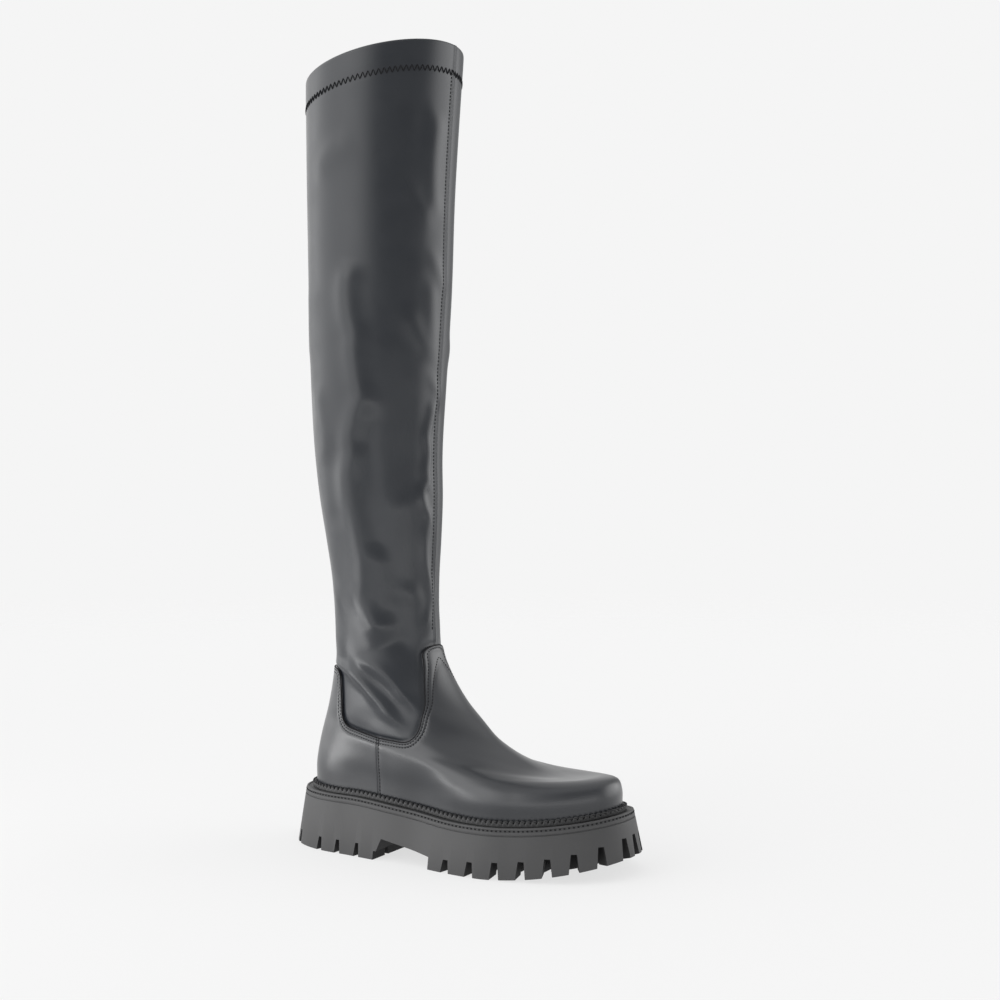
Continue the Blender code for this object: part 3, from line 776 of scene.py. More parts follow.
class Panel:
    """A leather panel that lies on the form.

    It is a mesh over turn and level that is cut and creased along lines.
    """

    def __init__(self, form: BootForm, turns: Array, levels: Array) -> None:
        """Starts with a plain grid of quads.

        Args:
            form: the form that the panel lies on.
            turns: the grid's turns.
            levels: the grid's levels.
        """
        self.form = form
        level, turn = np.meshgrid(levels, turns, indexing="ij")
        self.places = np.stack([turn.ravel(), level.ravel()], axis=1)
        self.faces = [list(face) for face in grid_faces(len(levels), len(turns), False).tolist()]

    def split(self, measure: Field, value: float) -> list[tuple[int, int]]:
        """Adds a line of edges where a measure has a value.

        Args:
            measure: gives a number for each point of the form.
            value: the number along the new line.

        Returns:
            The line's edges, as pairs of vertex indexes.
        """
        gap = measure(self.form.points(*self.places.T)) - value
        gap[np.abs(gap) < 1e-6] = 0.0
        signs = np.sign(gap).astype(int).tolist()
        made: dict[tuple[int, int], int] = {}
        added: list[Array] = []
        edges: list[tuple[int, int]] = []
        faces: list[list[int]] = []
        for face in self.faces:
            marks = [signs[k] for k in face]
            if min(marks) >= 0 or max(marks) <= 0:
                faces.append(face)
                continue
            low: list[int] = []
            high: list[int] = []
            crossing: list[int] = []
            for a, b in zip(face, face[1:] + face[:1]):
                if signs[a] <= 0:
                    low.append(a)
                if signs[a] >= 0:
                    high.append(a)
                if signs[a] == 0:
                    crossing.append(a)
                if signs[a] * signs[b] < 0:
                    key = (min(a, b), max(a, b))
                    if key not in made:
                        share = gap[key[0]] / (gap[key[0]] - gap[key[1]])
                        made[key] = len(self.places) + len(added)
                        added.append(self.places[key[0]] * (1 - share) + self.places[key[1]] * share)
                    for part in (low, high, crossing):
                        part.append(made[key])
            if len(crossing) != 2:
                faces.append(face)
                continue
            faces += [part for part in (low, high) if len(part) > 2]
            edges.append((crossing[0], crossing[1]))
        if added:
            self.places = np.concatenate([self.places, np.array(added)])
        self.faces = faces
        return edges

    def keep(self, measure: Field, value: float = 0.0) -> None:
        """Keeps the faces where a measure is over a value, after a split there."""
        gap = measure(self.form.points(*self.places.T)) - value
        self.faces = [face for face in self.faces if np.mean([gap[k] for k in face]) > 0]

    def chain(self, edges: list[tuple[int, int]]) -> list[Array]:
        """Joins a line's edges into runs of places.

        Args:
            edges: pairs of vertex indexes.

        Returns:
            Each run as an array of turn and level.
        """
        joined: dict[int, list[int]] = {}
        for a, b in edges:
            joined.setdefault(a, []).append(b)
            joined.setdefault(b, []).append(a)
        ends = [k for k, near in joined.items() if len(near) == 1]
        seen: set[int] = set()
        runs = []
        for start in ends + list(joined):
            if start in seen:
                continue
            run, here = [start], start
            seen.add(start)
            while True:
                ahead = [k for k in joined[here] if k not in seen]
                if not ahead:
                    break
                here = ahead[0]
                seen.add(here)
                run.append(here)
            if len(run) > 2:
                runs.append(self.places[run])
        return runs

    def solid_points(self, height: Callable[[Array], Array]) -> tuple[Array, list[list[int]]]:
        """The panel's points, raised off the form.

        Args:
            height: gives the height over the form for each of the form's points.

        Returns:
            The used points and the faces.
        """
        used = sorted({k for face in self.faces for k in face})
        renumber = {k: n for n, k in enumerate(used)}
        places = self.places[used]
        base = self.form.points(*places.T)
        raised = base + self.form.normals(*places.T) * height(base)[:, None]
        return raised, [[renumber[k] for k in face] for face in self.faces]


@dataclass
class Stitching:
    """Rows of raised stitches, joined into one piece."""

    pitch: float = 3.2 * MM
    length: float = 2.5 * MM
    thickness: float = 0.55 * MM
    bulge: float = 0.12 * MM
    slant: float = 0.0
    rings: int = 7
    sides: int = 7
    end_dip: float = 0.12
    end_share: float = 0.03

    def spans_along(self, path: Array, normals: Array, closed: bool = False) -> tuple[Array, Array]:
        """Places stitches along a path on a surface.

        Args:
            path: points on the surface.
            normals: the surface's normals there.
            closed: whether the path is a loop.

        Returns:
            For each stitch, points along its middle and the normals there.
        """
        if closed:
            path = np.concatenate([path, path[:1]])
            normals = np.concatenate([normals, normals[:1]])
        length = np.concatenate([[0.0], np.cumsum(np.linalg.norm(np.diff(path, axis=0), axis=1))])
        count = max(int(length[-1] / self.pitch), 1)
        middles = (np.arange(count) + 0.5) * length[-1] / count
        shares = np.linspace(-0.5, 0.5, self.rings) * self.length
        at = middles[:, None] + shares
        points = np.stack([np.interp(at, length, path[:, k]) for k in range(3)], axis=-1)
        lifts = np.stack([np.interp(at, length, normals[:, k]) for k in range(3)], axis=-1)
        lifts /= np.linalg.norm(lifts, axis=-1, keepdims=True)
        return points, lifts

    def mesh(self, points: Array, lifts: Array) -> tuple[Array, Array]:
        """Makes a small rounded tube for each stitch.

        Args:
            points: points along the middle of each stitch.
            lifts: the surface's normals there.

        Returns:
            The vertices and faces of all stitches.
        """
        count, rings = points.shape[:2]
        share = np.linspace(-1, 1, rings)
        aside = np.cross(np.gradient(points, axis=1), lifts)
        aside /= np.linalg.norm(aside, axis=-1, keepdims=True)
        points = points + aside * (self.slant * share)[None, :, None]
        rise = self.bulge * (1 - share**2) - self.end_dip * self.thickness * share**2
        lifted = points + lifts * rise[None, :, None]
        along = np.gradient(lifted, axis=1)
        along /= np.linalg.norm(along, axis=-1, keepdims=True)
        across = np.cross(along, lifts)
        across /= np.linalg.norm(across, axis=-1, keepdims=True)
        upward = np.cross(across, along)
        radius = self.thickness / 2 * np.maximum(1 - share**4, self.end_share) ** 0.5
        angle = np.linspace(0, TURN, self.sides + 1)[:-1]
        ring = (across[:, :, None] * np.cos(angle)[:, None] + upward[:, :, None] * np.sin(angle)[:, None])
        vertices = lifted[:, :, None] + ring * radius[None, :, None, None]
        block = grid_faces(rings, self.sides, True)
        faces = (block[None] + (np.arange(count) * rings * self.sides)[:, None, None]).reshape(-1, 4)
        return vertices.reshape(-1, 3), faces


def tube_along(path: Array, normals: Array, radius: float, sides: int = 8,
               tip: float = 0.05) -> tuple[Array, Array]:
    """Makes a tube with tapered ends along a path on a surface.

    Args:
        path: points along its middle.
        normals: the surface's normals there.
        radius: its radius.
        sides: points round it.
        tip: the least share of its cross-section, at its ends.

    Returns:
        Its vertices and faces.
    """
    along = np.gradient(path, axis=0)
    along /= np.linalg.norm(along, axis=1, keepdims=True)
    across = np.cross(along, normals)
    across /= np.linalg.norm(across, axis=1, keepdims=True)
    upward = np.cross(across, along)
    length = np.concatenate([[0.0], np.cumsum(np.linalg.norm(np.diff(path, axis=0), axis=1))])
    thin = np.clip(np.minimum(length, length[-1] - length) / (2 * radius), tip, 1) ** 0.5
    angle = np.linspace(0, TURN, sides + 1)[:-1]
    ring = across[:, None] * np.cos(angle)[:, None] + upward[:, None] * np.sin(angle)[:, None]
    points = path[:, None] + ring * (radius * thin)[:, None, None]
    return points.reshape(-1, 3), grid_faces(len(path), sides, True)


def join_meshes(parts: Sequence[tuple[Array, Array]]) -> tuple[Array, list[list[int]]]:
    """Joins lists of vertices and faces into one.

    Args:
        parts: the vertices and faces of each mesh.

    Returns:
        All vertices, and the faces with their new numbers.
    """
    points, faces, start = [], [], 0
    for vertices, polygons in parts:
        points.append(vertices)
        faces += [[k + start for k in polygon] for polygon in np.asarray(polygons).tolist()]
        start += len(vertices)
    return np.concatenate(points), faces


@dataclass(frozen=True)
class Fold:
    """A soft crease of the shaft, as a ridge or, with a negative height, a trough.

    Its height and its widths towards the back and the front are in millimetres. Its path is a list of turns
    in degrees and heights over the floor in millimetres.
    """

    name: str
    height: float
    back_width: float
    front_width: float
    path: tuple[tuple[float, float], ...]


FOLDS = (
    Fold("main_band", 3.0, 9, 9,
         ((98, 452), (92, 431), (93, 410), (98, 393), (98, 379), (101, 360), (104, 345), (99, 330), (94, 315),
          (94, 302), (88, 284), (89, 264), (92, 247), (94, 229), (93, 207), (91, 194), (98, 181), (106, 170),
          (113, 156))),
    Fold("main_trough", -1.4, 11, 10,
         ((111, 345), (110, 306), (112, 283), (113, 253), (121, 223), (122, 193), (128, 168), (134, 145))),
    Fold("second_band", 2.0, 9, 9, ((108, 238), (113, 221), (115, 204), (115, 189), (120, 171), (126, 158))),
    Fold("right_ridge", 1.8, 5, 4,
         ((174, 352), (170, 331), (166, 317), (168, 303), (166, 291), (166, 282), (160, 274), (162, 264),
          (168, 253), (164, 238), (164, 223), (170, 207), (174, 192), (171, 181), (166, 171), (161, 160))),
    Fold("front_top_ridge", 1.5, 8, 7, ((166, 566), (163, 540), (162, 520), (163, 500), (166, 478))),
    Fold("front_top_trough", -0.8, 9, 7, ((150, 575), (148, 550), (148, 525))),
    Fold("collar_back_swell", 1.4, 10, 12, ((54, 517), (70, 527), (83, 535), (100, 542))),
    Fold("smile_high", 1.1, 9, 9, ((132, 514), (143, 497), (154, 485), (168, 474))),
    Fold("back_edge_bulge", 1.2, 12, 12, ((50, 440), (46, 417), (44, 394), (49, 372))),
    Fold("front_diagonal", 1.1, 7, 6, ((158, 462), (168, 447), (175, 434), (187, 424))),
    Fold("front_ridge_mid", 1.2, 7, 6, ((163, 440), (164, 420), (166, 398), (168, 378))),
    Fold("smile_mid", 1.2, 9, 9, ((134, 418), (145, 402), (155, 390), (168, 379), (178, 371))),
    Fold("front_ridge_low", 1.1, 6, 5, ((164, 370), (172, 357), (180, 345), (187, 332))),
    Fold("back_edge_low", 1.6, 10, 9, ((54, 362), (61, 334), (66, 314), (61, 292))),
    Fold("back_edge_trough", -0.9, 9, 9, ((72, 322), (71, 291), (70, 268), (70, 240))),
    Fold("knee_dent", 0.9, 9, 9, ((126, 250), (138, 262), (149, 264), (162, 257))),
    Fold("shin_dent", 0.9, 9, 8, ((126, 190), (139, 197), (152, 194), (166, 184))),
    Fold("lower_trough", -1.4, 9, 8, ((120, 200), (128, 173), (137, 155), (138, 137), (130, 118))),
    Fold("back_low_rim", 1.0, 8, 8, ((38, 210), (54, 193), (54, 176))),
    Fold("ankle_crease_back", 2.0, 4, 4.5, ((20, 143), (53, 139), (64, 132), (72, 120))),
    Fold("ankle_crease", 2.6, 5, 5,
         ((60, 151), (66, 142), (72, 133), (80, 121), (86, 112), (88, 102), (92, 92))),
    Fold("ankle_trough", -1.6, 7, 7, ((78, 144), (94, 128), (98, 118), (100, 108), (101, 97))),
    Fold("ankle_crease_front", 1.7, 7, 7,
         ((66, 148), (88, 144), (102, 137), (110, 129), (113, 118), (115, 106))),
    Fold("gusset_swell", 0.9, 9, 9, ((50, 123), (60, 109), (70, 97))),
    Fold("inner_band", 1.8, 12, 10,
         ((262, 440), (268, 400), (266, 350), (274, 300), (272, 250), (266, 200), (260, 165))),
    Fold("inner_trough", -1.2, 12, 11, ((246, 400), (250, 340), (248, 280), (240, 220), (232, 170))),
    Fold("inner_crease", 1.8, 6, 6, ((330, 142), (305, 138), (292, 126), (280, 108))),
    Fold("inner_crease_front", 1.4, 7, 7, ((290, 150), (270, 146), (254, 136), (246, 120))),
    Fold("inner_smile", 1.0, 10, 10, ((196, 400), (210, 385), (224, 395), (236, 412))),
)


@dataclass
class StretchUpper:
    """The shaft and gusset: soft stretch leather with folds, a front and a back seam, and a turned hem."""

    form: BootForm
    below_topline: Field
    row_step: float = 1.6 * MM
    column_step: float = 1.7 * MM
    seam_reach: float = 7 * MM
    seam_step: float = 0.55 * MM
    wall: float = 1.4 * MM
    hem_wall: float = 2.4 * MM
    hem_height: float = 21.5 * MM
    hem_groove: tuple[float, float] = (0.15 * MM, 3.0 * MM)
    seam_ridge: tuple[float, float] = (0.8 * MM, 1.2 * MM)
    seam_row: float = 3.2 * MM
    tuck: tuple[float, float] = (0.8 * MM, 1.3 * MM)
    zigzag: tuple[float, float] = (2.1 * MM, 5.2 * MM)
    first_level: float = 2.6
    mean_radius: float = 55 * MM
    fold_taper: float = 18 * MM
    seam_groove: tuple[float, float] = (1.35, 0.32)
    hem_swell: tuple[float, float] = (0.10 * MM, 0.45)
    overlay_blend: float = 10 * MM
    seam_row_step: float = 1.5 * MM
    seam_row_lift: float = 0.1 * MM
    seam_row_ends: tuple[float, float] = (0.2, 0.7)
    zigzag_lift: float = 0.12 * MM
    lining_step: float = 6 * MM
    lining_ends: tuple[float, float] = (0.3, 0.25)
    folds: tuple[Fold, ...] = FOLDS
    turns: Array = field(init=False)
    levels: Array = field(init=False)

    def __post_init__(self) -> None:
        """Lays out the grid, with close columns at the seams."""
        reach, fine, coarse = (size / self.mean_radius for size in
                               (self.seam_reach, self.seam_step, self.column_step))
        seam = np.linspace(-reach, reach, int(2 * reach / fine) + 1)
        side = np.linspace(reach, math.pi - reach, int((math.pi - 2 * reach) / coarse) + 1)[1:-1]
        self.turns = np.concatenate([seam, side, seam + math.pi, side + math.pi])
        self.levels = self.form.even_levels(self.first_level, self.form.top_level, self.row_step)

    def radius_at(self, height: Array) -> Array:
        """The shaft's mean radius at a height over the floor.

        Args:
            height: the heights.

        Returns:
            A radius for each.
        """
        form = self.form
        rise = (height - form.heel_height - form.ankle_rise) / form.shaft_rise
        rises = [row.rise for row in SHAFT_SECTIONS]
        radii = [(row.half_length * form.collar_length + row.half_width * form.collar_width) / 2
                 for row in SHAFT_SECTIONS]
        return np.interp(rise, rises, radii)

    def fold_height(self, turn: Array, points: Array) -> Array:
        """How far the folds move each point outwards.

        Args:
            turn: the points' turns round the boot.
            points: the points.

        Returns:
            The distance for each point.
        """
        height = points[:, 2]
        moved = np.zeros(len(turn))
        turn = np.mod(turn, TURN)
        flat = np.stack([turn * self.radius_at(height), height], axis=1)
        for fold in self.folds:
            path = np.array(fold.path) * (math.pi / 180, MM)
            path = smooth_path(np.stack([path[:, 0] * self.radius_at(path[:, 1]), path[:, 1]], axis=1))
            reach = 3 * max(fold.back_width, fold.front_width) * MM
            near = np.all((flat > path.min(axis=0) - reach) & (flat < path.max(axis=0) + reach), axis=1)
            gap, along = signed_distance(flat[near], path)
            width = np.where(gap < 0, fold.back_width, fold.front_width) * MM
            length = np.linalg.norm(np.diff(path, axis=0), axis=1).sum()
            taper = ease(np.minimum(along, 1 - along) * max(length / self.fold_taper, 2.0))
            moved[near] += fold.height * MM * np.exp(-(gap / width) ** 2) * taper
        return moved

    def seam_height(self, turn: Array, points: Array) -> Array:
        """The raised seams at the front and the back, each with a fine groove along its middle.

        Args:
            turn: the points' turns round the boot.
            points: the points.

        Returns:
            How far they move each point outwards.
        """
        radius = self.radius_at(points[:, 2])
        height, width = self.seam_ridge
        deep, narrow = self.seam_groove
        moved = np.zeros(len(turn))
        for middle in (0.0, math.pi):
            gap = np.abs(np.mod(turn - middle + math.pi, TURN) - math.pi) * radius
            ridge = np.exp(-(gap / width) ** 2 / 2) - deep * np.exp(-(gap / (narrow * width)) ** 2)
            moved += height * ridge
        return moved * (points[:, 2] > 0)

    def hem_height_at(self, turn: Array, points: Array) -> Array:
        """The groove that the hem's cover stitch pulls in.

        Args:
            turn: the points' turns round the boot.
            points: the points.

        Returns:
            How far it moves each point outwards.
        """
        edge = self.form.points(turn, np.full(len(turn), self.form.top_level))[:, 2]
        below = edge - points[:, 2]
        depth, width = self.hem_groove
        lift, reach = self.hem_swell
        swell = lift * np.exp(-((below - self.hem_height / 2) / (reach * self.hem_height)) ** 2)
        return swell - depth * np.exp(-((below - self.hem_height) / width) ** 2)

    def outer_points(self, turn: Array, level: Array) -> Array:
        """Points of the upper's outside, tucked in along the overlays' edge.

        Args:
            turn: turns round the boot.
            level: levels, one for each turn.

        Returns:
            A point for each pair.
        """
        base = self.form.points(turn, level)
        low = base[:, 2] < self.form.heel_height + 1.1 * self.form.ankle_rise
        inside = np.full(len(base), -1.0)
        inside[low] = self.below_topline(base[low])
        raised = self.fold_height(turn, base) + self.seam_height(turn, base)
        raised = raised * ease(0.5 - inside / self.overlay_blend) + self.hem_height_at(turn, base)
        depth, width = self.tuck
        raised -= depth * np.exp(-((inside + 0.5 * width) / width) ** 2)
        return base + self.form.normals(turn, level) * raised[:, None]

    def rows_beside_seams(self) -> list[tuple[Array, Array]]:
        """The paths and normals of the stitch rows beside the front and the back seam.

        Returns:
            Points and normals of each row.
        """
        rows = []
        low = self.form.ankle_level - self.seam_row_ends[0]
        high = self.form.top_level - self.seam_row_ends[1]
        for middle, side in ((math.pi, -1.0), (0.0, 1.0)):
            levels = self.form.even_levels(low, high, self.seam_row_step)
            base = self.form.points(np.full(len(levels), middle), levels)
            turn = middle + side * self.seam_row / self.radius_at(base[:, 2])
            normal = self.form.normals(turn, levels)
            rows.append((self.outer_points(turn, levels) + normal * self.seam_row_lift, normal))
        return rows

    def hem_ring(self) -> tuple[Array, Array, Array]:
        """Points, normals and downward steps along the hem's cover stitch.

        Returns:
            The three, one of each to a turn.
        """
        form = self.form
        turn = np.linspace(0, TURN, 401)
        levels = np.linspace(form.top_level - 1.5, form.top_level, 60)
        heights = np.stack([form.points(turn, np.full(len(turn), level))[:, 2] for level in levels])
        below = heights[-1] - heights
        level = np.array([np.interp(-self.hem_height, -below[:, k], levels) for k in range(len(turn))])
        normal = form.normals(turn, level)
        down = self.outer_points(turn, level - 0.05) - self.outer_points(turn, level)
        down /= np.linalg.norm(down, axis=1, keepdims=True)
        return self.outer_points(turn, level), normal, down

    def build_stitches(self, material: bpy.types.Material) -> bpy.types.Object:
        """Makes the hem's zigzag cover stitch and the rows beside the seams.

        Args:
            material: the thread.

        Returns:
            The new piece.
        """
        step, tall = self.zigzag
        points, normals, down = self.hem_ring()
        length = np.concatenate([[0.0], np.cumsum(np.linalg.norm(np.diff(points, axis=0), axis=1))])
        count = int(length[-1] / step) // 2 * 2
        strokes = Stitching(thickness=0.65 * MM, bulge=0.2 * MM)
        share = np.linspace(0, 1, strokes.rings)
        at = (np.arange(count)[:, None] + share) * length[-1] / count
        flip = np.where(np.arange(count) % 2 == 0, 1.0, -1.0)[:, None]
        place, lift, fall = (np.stack([np.interp(at, length, values[:, k]) for k in range(3)], axis=-1)
                             for values in (points, normals, down))
        middles = place + fall * (tall * (share - 0.5) * flip)[..., None] + lift * self.zigzag_lift
        rows = Stitching(pitch=2.8 * MM, length=2.1 * MM, thickness=0.5 * MM)
        parts = [strokes.mesh(middles, lift)]
        parts += [rows.mesh(*rows.spans_along(path, normal)) for path, normal in self.rows_beside_seams()]
        return add_piece("shaft_stitches", *join_meshes(parts), material, "stretch_leather")

    def build(self, material: bpy.types.Material) -> bpy.types.Object:
        """Makes the outside, the rolled edge of the collar and the hem's inside as one piece.

        Args:
            material: its finish.

        Returns:
            The new piece.
        """
        level, turn = np.meshgrid(self.levels, self.turns, indexing="ij")
        outer = self.outer_points(turn.ravel(), level.ravel()).reshape(*turn.shape, 3)
        top_level = np.full(len(self.turns), self.form.top_level)
        edge = outer[-1]
        normal = self.form.normals(self.turns, top_level)
        normal[:, 2] = 0
        normal /= np.linalg.norm(normal, axis=1, keepdims=True)
        radius = self.hem_wall / 2
        lip = []
        for angle in np.linspace(0, math.pi, 7)[1:]:
            step = np.zeros_like(edge)
            step -= normal * radius * (1 - math.cos(angle))
            step[:, 2] = radius * math.sin(angle) - radius * 0.9
            lip.append(edge + step)
        inside = []
        for share in np.linspace(0.1, 1, 8):
            drop = (self.hem_height + 1.0 * MM) * share
            step = -normal * self.hem_wall
            below = edge + step
            below[:, 2] -= drop
            inside.append(below)
        tucked = inside[-1] + normal * (self.hem_wall - self.wall)
        rows = np.concatenate([outer[:-1], np.array(lip), np.array(inside), tucked[None]])
        faces = grid_faces(len(rows), len(self.turns), True)
        piece = add_piece("stretch_upper", rows.reshape(-1, 3), faces, material, "stretch_leather")
        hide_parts("upper")
        return piece

    def build_lining(self, material: bpy.types.Material) -> bpy.types.Object:
        """Makes the inside of the wall, from the insole to the hem.

        Args:
            material: its finish.

        Returns:
            The new piece.
        """
        turns = np.linspace(0, TURN, 129)[:-1]
        low, below_top = self.lining_ends
        levels = self.form.even_levels(low, self.form.top_level - below_top, self.lining_step)
        level, turn = np.meshgrid(levels, turns, indexing="ij")
        base = self.form.points(turn.ravel(), level.ravel())
        fold = self.fold_height(turn.ravel(), base)
        inner = base + self.form.normals(turn.ravel(), level.ravel()) * (fold - self.wall)[:, None]
        faces = grid_faces(len(levels), len(turns), True)[:, ::-1]
        return add_piece("shaft_lining", inner, faces, material, "sock_lining")


@dataclass
class Overlays:
    """The vamp and the heel counter, cut to one topline and joined at a seam on each side."""

    form: BootForm
    corners: tuple[tuple[float, float, float], ...] = (
        (-0.100, 0.787, 0.00),
        (0.135, 0.787, 0.07),
        (0.147, 0.432, 0.11),
        (0.290, 0.378, 0.40),
        (0.425, 0.358, 0.15),
        (0.436, 0.580, 0.20),
        (0.390, 0.930, 0.10),
        (0.440, 0.985, 0.10),
        (0.560, 0.985, 0.00),
    )
    seam_station: float = 0.292
    edge_round: float = 1.1 * MM
    rows: tuple[float, float] = (2.0 * MM, 4.3 * MM)
    row_sink: float = 0.38 * MM
    row_width: float = 0.7 * MM
    step: float = 2.2 * MM
    overlap: float = 0.25 * MM
    lines: dict[str, list[tuple[str, list[tuple[Array, Array]]]]] = field(default_factory=dict)
    bead: float = 0.6 * MM
    bead_place: float = 0.3 * MM
    rim_sink: float = 0.15 * MM
    overlap_fade: tuple[float, float] = (4 * MM, 8 * MM)
    edge_cuts: tuple[float, ...] = (0.06 * MM, 0.2 * MM, 0.5 * MM, 1.1 * MM)
    row_cuts: tuple[float, ...] = (-1.4, -0.6, 0.6, 1.4)

    def topline(self) -> Array:
        """The overlays' upper edge seen from the side, in the boot's own frame.

        Returns:
            X and height along it.
        """
        form = self.form
        path = rounded([(a * form.last_length, form.heel_height + b * form.ankle_rise, c * form.ankle_rise)
                        for a, b, c in self.corners])
        path[:, 0] -= form.middle[0]
        path[:, 1] += form.clearance
        return path

    def below_topline(self, points: Array) -> Array:
        """Distance from the topline, positive on the overlays.

        Args:
            points: places on the boot.

        Returns:
            The distance of each.
        """
        path = self.topline()
        far = 1.0
        outline = np.concatenate([[[path[0, 0] - far, path[0, 1]]], path, [[path[-1, 0] + far, path[-1, 1]]],
                                  [[path[-1, 0] + far, far]], [[path[0, 0] - far, far]]])
        flat = points[:, [0, 2]]
        gap, _ = distance_to_path(flat, path)
        return np.where(inside_outline(flat, outline), -gap, gap)

    def ahead_of_seam(self, points: Array) -> Array:
        """Distance ahead of the side seam."""
        return points[:, 0] - (self.seam_station * self.form.last_length - self.form.middle[0])

    def relief(self, edge: Array, seam: Array, over: bool) -> Array:
        """Height of an overlay over the form.

        Args:
            edge: distance inside the topline.
            seam: distance inside the side seam.
            over: whether the panel lies on top at the side seam.

        Returns:
            The height at each point.
        """
        start, length = self.overlap_fade
        full = self.form.skin + (self.overlap if over else 0.0) * (1 - ease((seam - start) / length))
        rim = round_end(np.clip(edge, 0, None) / self.edge_round, 2.0)
        side = round_end(np.clip(seam, 0, None) / self.edge_round, 2.0)
        base = -self.rim_sink
        side_base = 0.7 * self.form.skin if over else 0.5 * self.form.skin
        height = side_base + (full - side_base) * side
        height = base + (height - base) * rim
        for row in self.rows:
            height = height - self.row_sink * np.exp(-((edge - row) / self.row_width) ** 2)
        if over:
            height = height - self.row_sink * np.exp(-((seam - self.rows[0]) / self.row_width) ** 2)
        return height

    def build_panel(self, name: str, node: str, turns: Array, forward: float,
                    material: bpy.types.Material) -> bpy.types.Object:
        """Makes one overlay and keeps the lines where its stitches go.

        Args:
            name: the piece's name.
            node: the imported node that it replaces.
            turns: the turns of its grid.
            forward: 1 for the panel ahead of the side seam, -1 for the one behind it.
            material: its finish.

        Returns:
            The new piece.
        """
        panel = Panel(self.form, turns, self.form.even_levels(0.0, self.form.ankle_level + 0.6, self.step))

        def seam(points: Array) -> Array:
            """Distance from the side seam, positive on this panel."""
            return self.ahead_of_seam(points) * forward

        over = forward > 0
        panel.split(self.below_topline, 0.0)
        panel.keep(self.below_topline)
        panel.split(seam, 0.0)
        panel.keep(seam)
        for place in self.edge_cuts:
            panel.split(self.below_topline, place)
            panel.split(seam, place)
        self.lines[name] = [("bead", panel.chain(panel.split(self.below_topline, self.bead_place)))]
        for row in self.rows:
            for shift in self.row_cuts:
                panel.split(self.below_topline, row + shift * self.row_width)
            self.lines[name].append(("edge", panel.chain(panel.split(self.below_topline, row))))
        if over:
            for shift in self.row_cuts:
                panel.split(seam, self.rows[0] + shift * self.row_width)
            self.lines[name].append(("seam", panel.chain(panel.split(seam, self.rows[0]))))

        def height(points: Array) -> Array:
            """Height of this panel's surface over the form."""
            return self.relief(self.below_topline(points), seam(points), over)

        self.lines[name] = [(kind, [self.lift(run, height) for run in runs])
                            for kind, runs in self.lines[name]]
        points, faces = panel.solid_points(height)
        piece = add_piece(name, points, faces, material, "smooth_leather")
        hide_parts(node)
        return piece

    def lift(self, run: Array, height: Callable[[Array], Array]) -> tuple[Array, Array]:
        """The points and normals of a run of places on an overlay's surface.

        Args:
            run: turn and level of each place.
            height: gives the overlay's height at points of the form.

        Returns:
            The points and their normals.
        """
        base = self.form.points(*run.T)
        normal = self.form.normals(*run.T)
        return base + normal * height(base)[:, None], normal

    def build(self, material: bpy.types.Material, thread: bpy.types.Material) -> list[bpy.types.Object]:
        """Makes the vamp, the counter and all stitches on them.

        Args:
            material: the leather.
            thread: the finish of the stitches and of the black edge bead, which is edge paint and painted
                shade.

        Returns:
            The new pieces.
        """
        turns = np.linspace(math.radians(50), TURN - math.radians(50), 200)
        back = np.linspace(-math.radians(85), math.radians(85), 90)
        pieces = [self.build_panel("vamp_leather", "vamp", turns, 1.0, material),
                  self.build_panel("counter_leather", "heel_counter", back, -1.0, material)]
        maker = Stitching(pitch=2.5 * MM, length=1.8 * MM, thickness=0.62 * MM)
        parts: list[tuple[Array, Array]] = []
        edge_paint_and_shade_beads: list[tuple[Array, Array]] = []
        for kind, runs in (line for lines in self.lines.values() for line in lines):
            for path, normals in runs:
                if np.linalg.norm(np.diff(path, axis=0), axis=1).sum() < 2 * maker.pitch:
                    continue
                # The bead is a black tube just inside the topline: edge paint, and painted shade of the gap
                # under the edge.
                if kind == "bead":
                    edge_paint_and_shade_beads.append(tube_along(path, normals, self.bead))
                else:
                    parts.append(maker.mesh(*maker.spans_along(path, normals)))
        pieces.append(add_piece("overlay_stitches", *join_meshes(parts), thread, "smooth_leather"))
        pieces.append(add_piece("overlay_edge_paint_and_shade", *join_meshes(edge_paint_and_shade_beads), thread, "smooth_leather"))
        return pieces


@dataclass(frozen=True)
class Groove:
    """A groove between two edge lugs: its width at the floor and at its top."""

    foot_width: float
    top_width: float


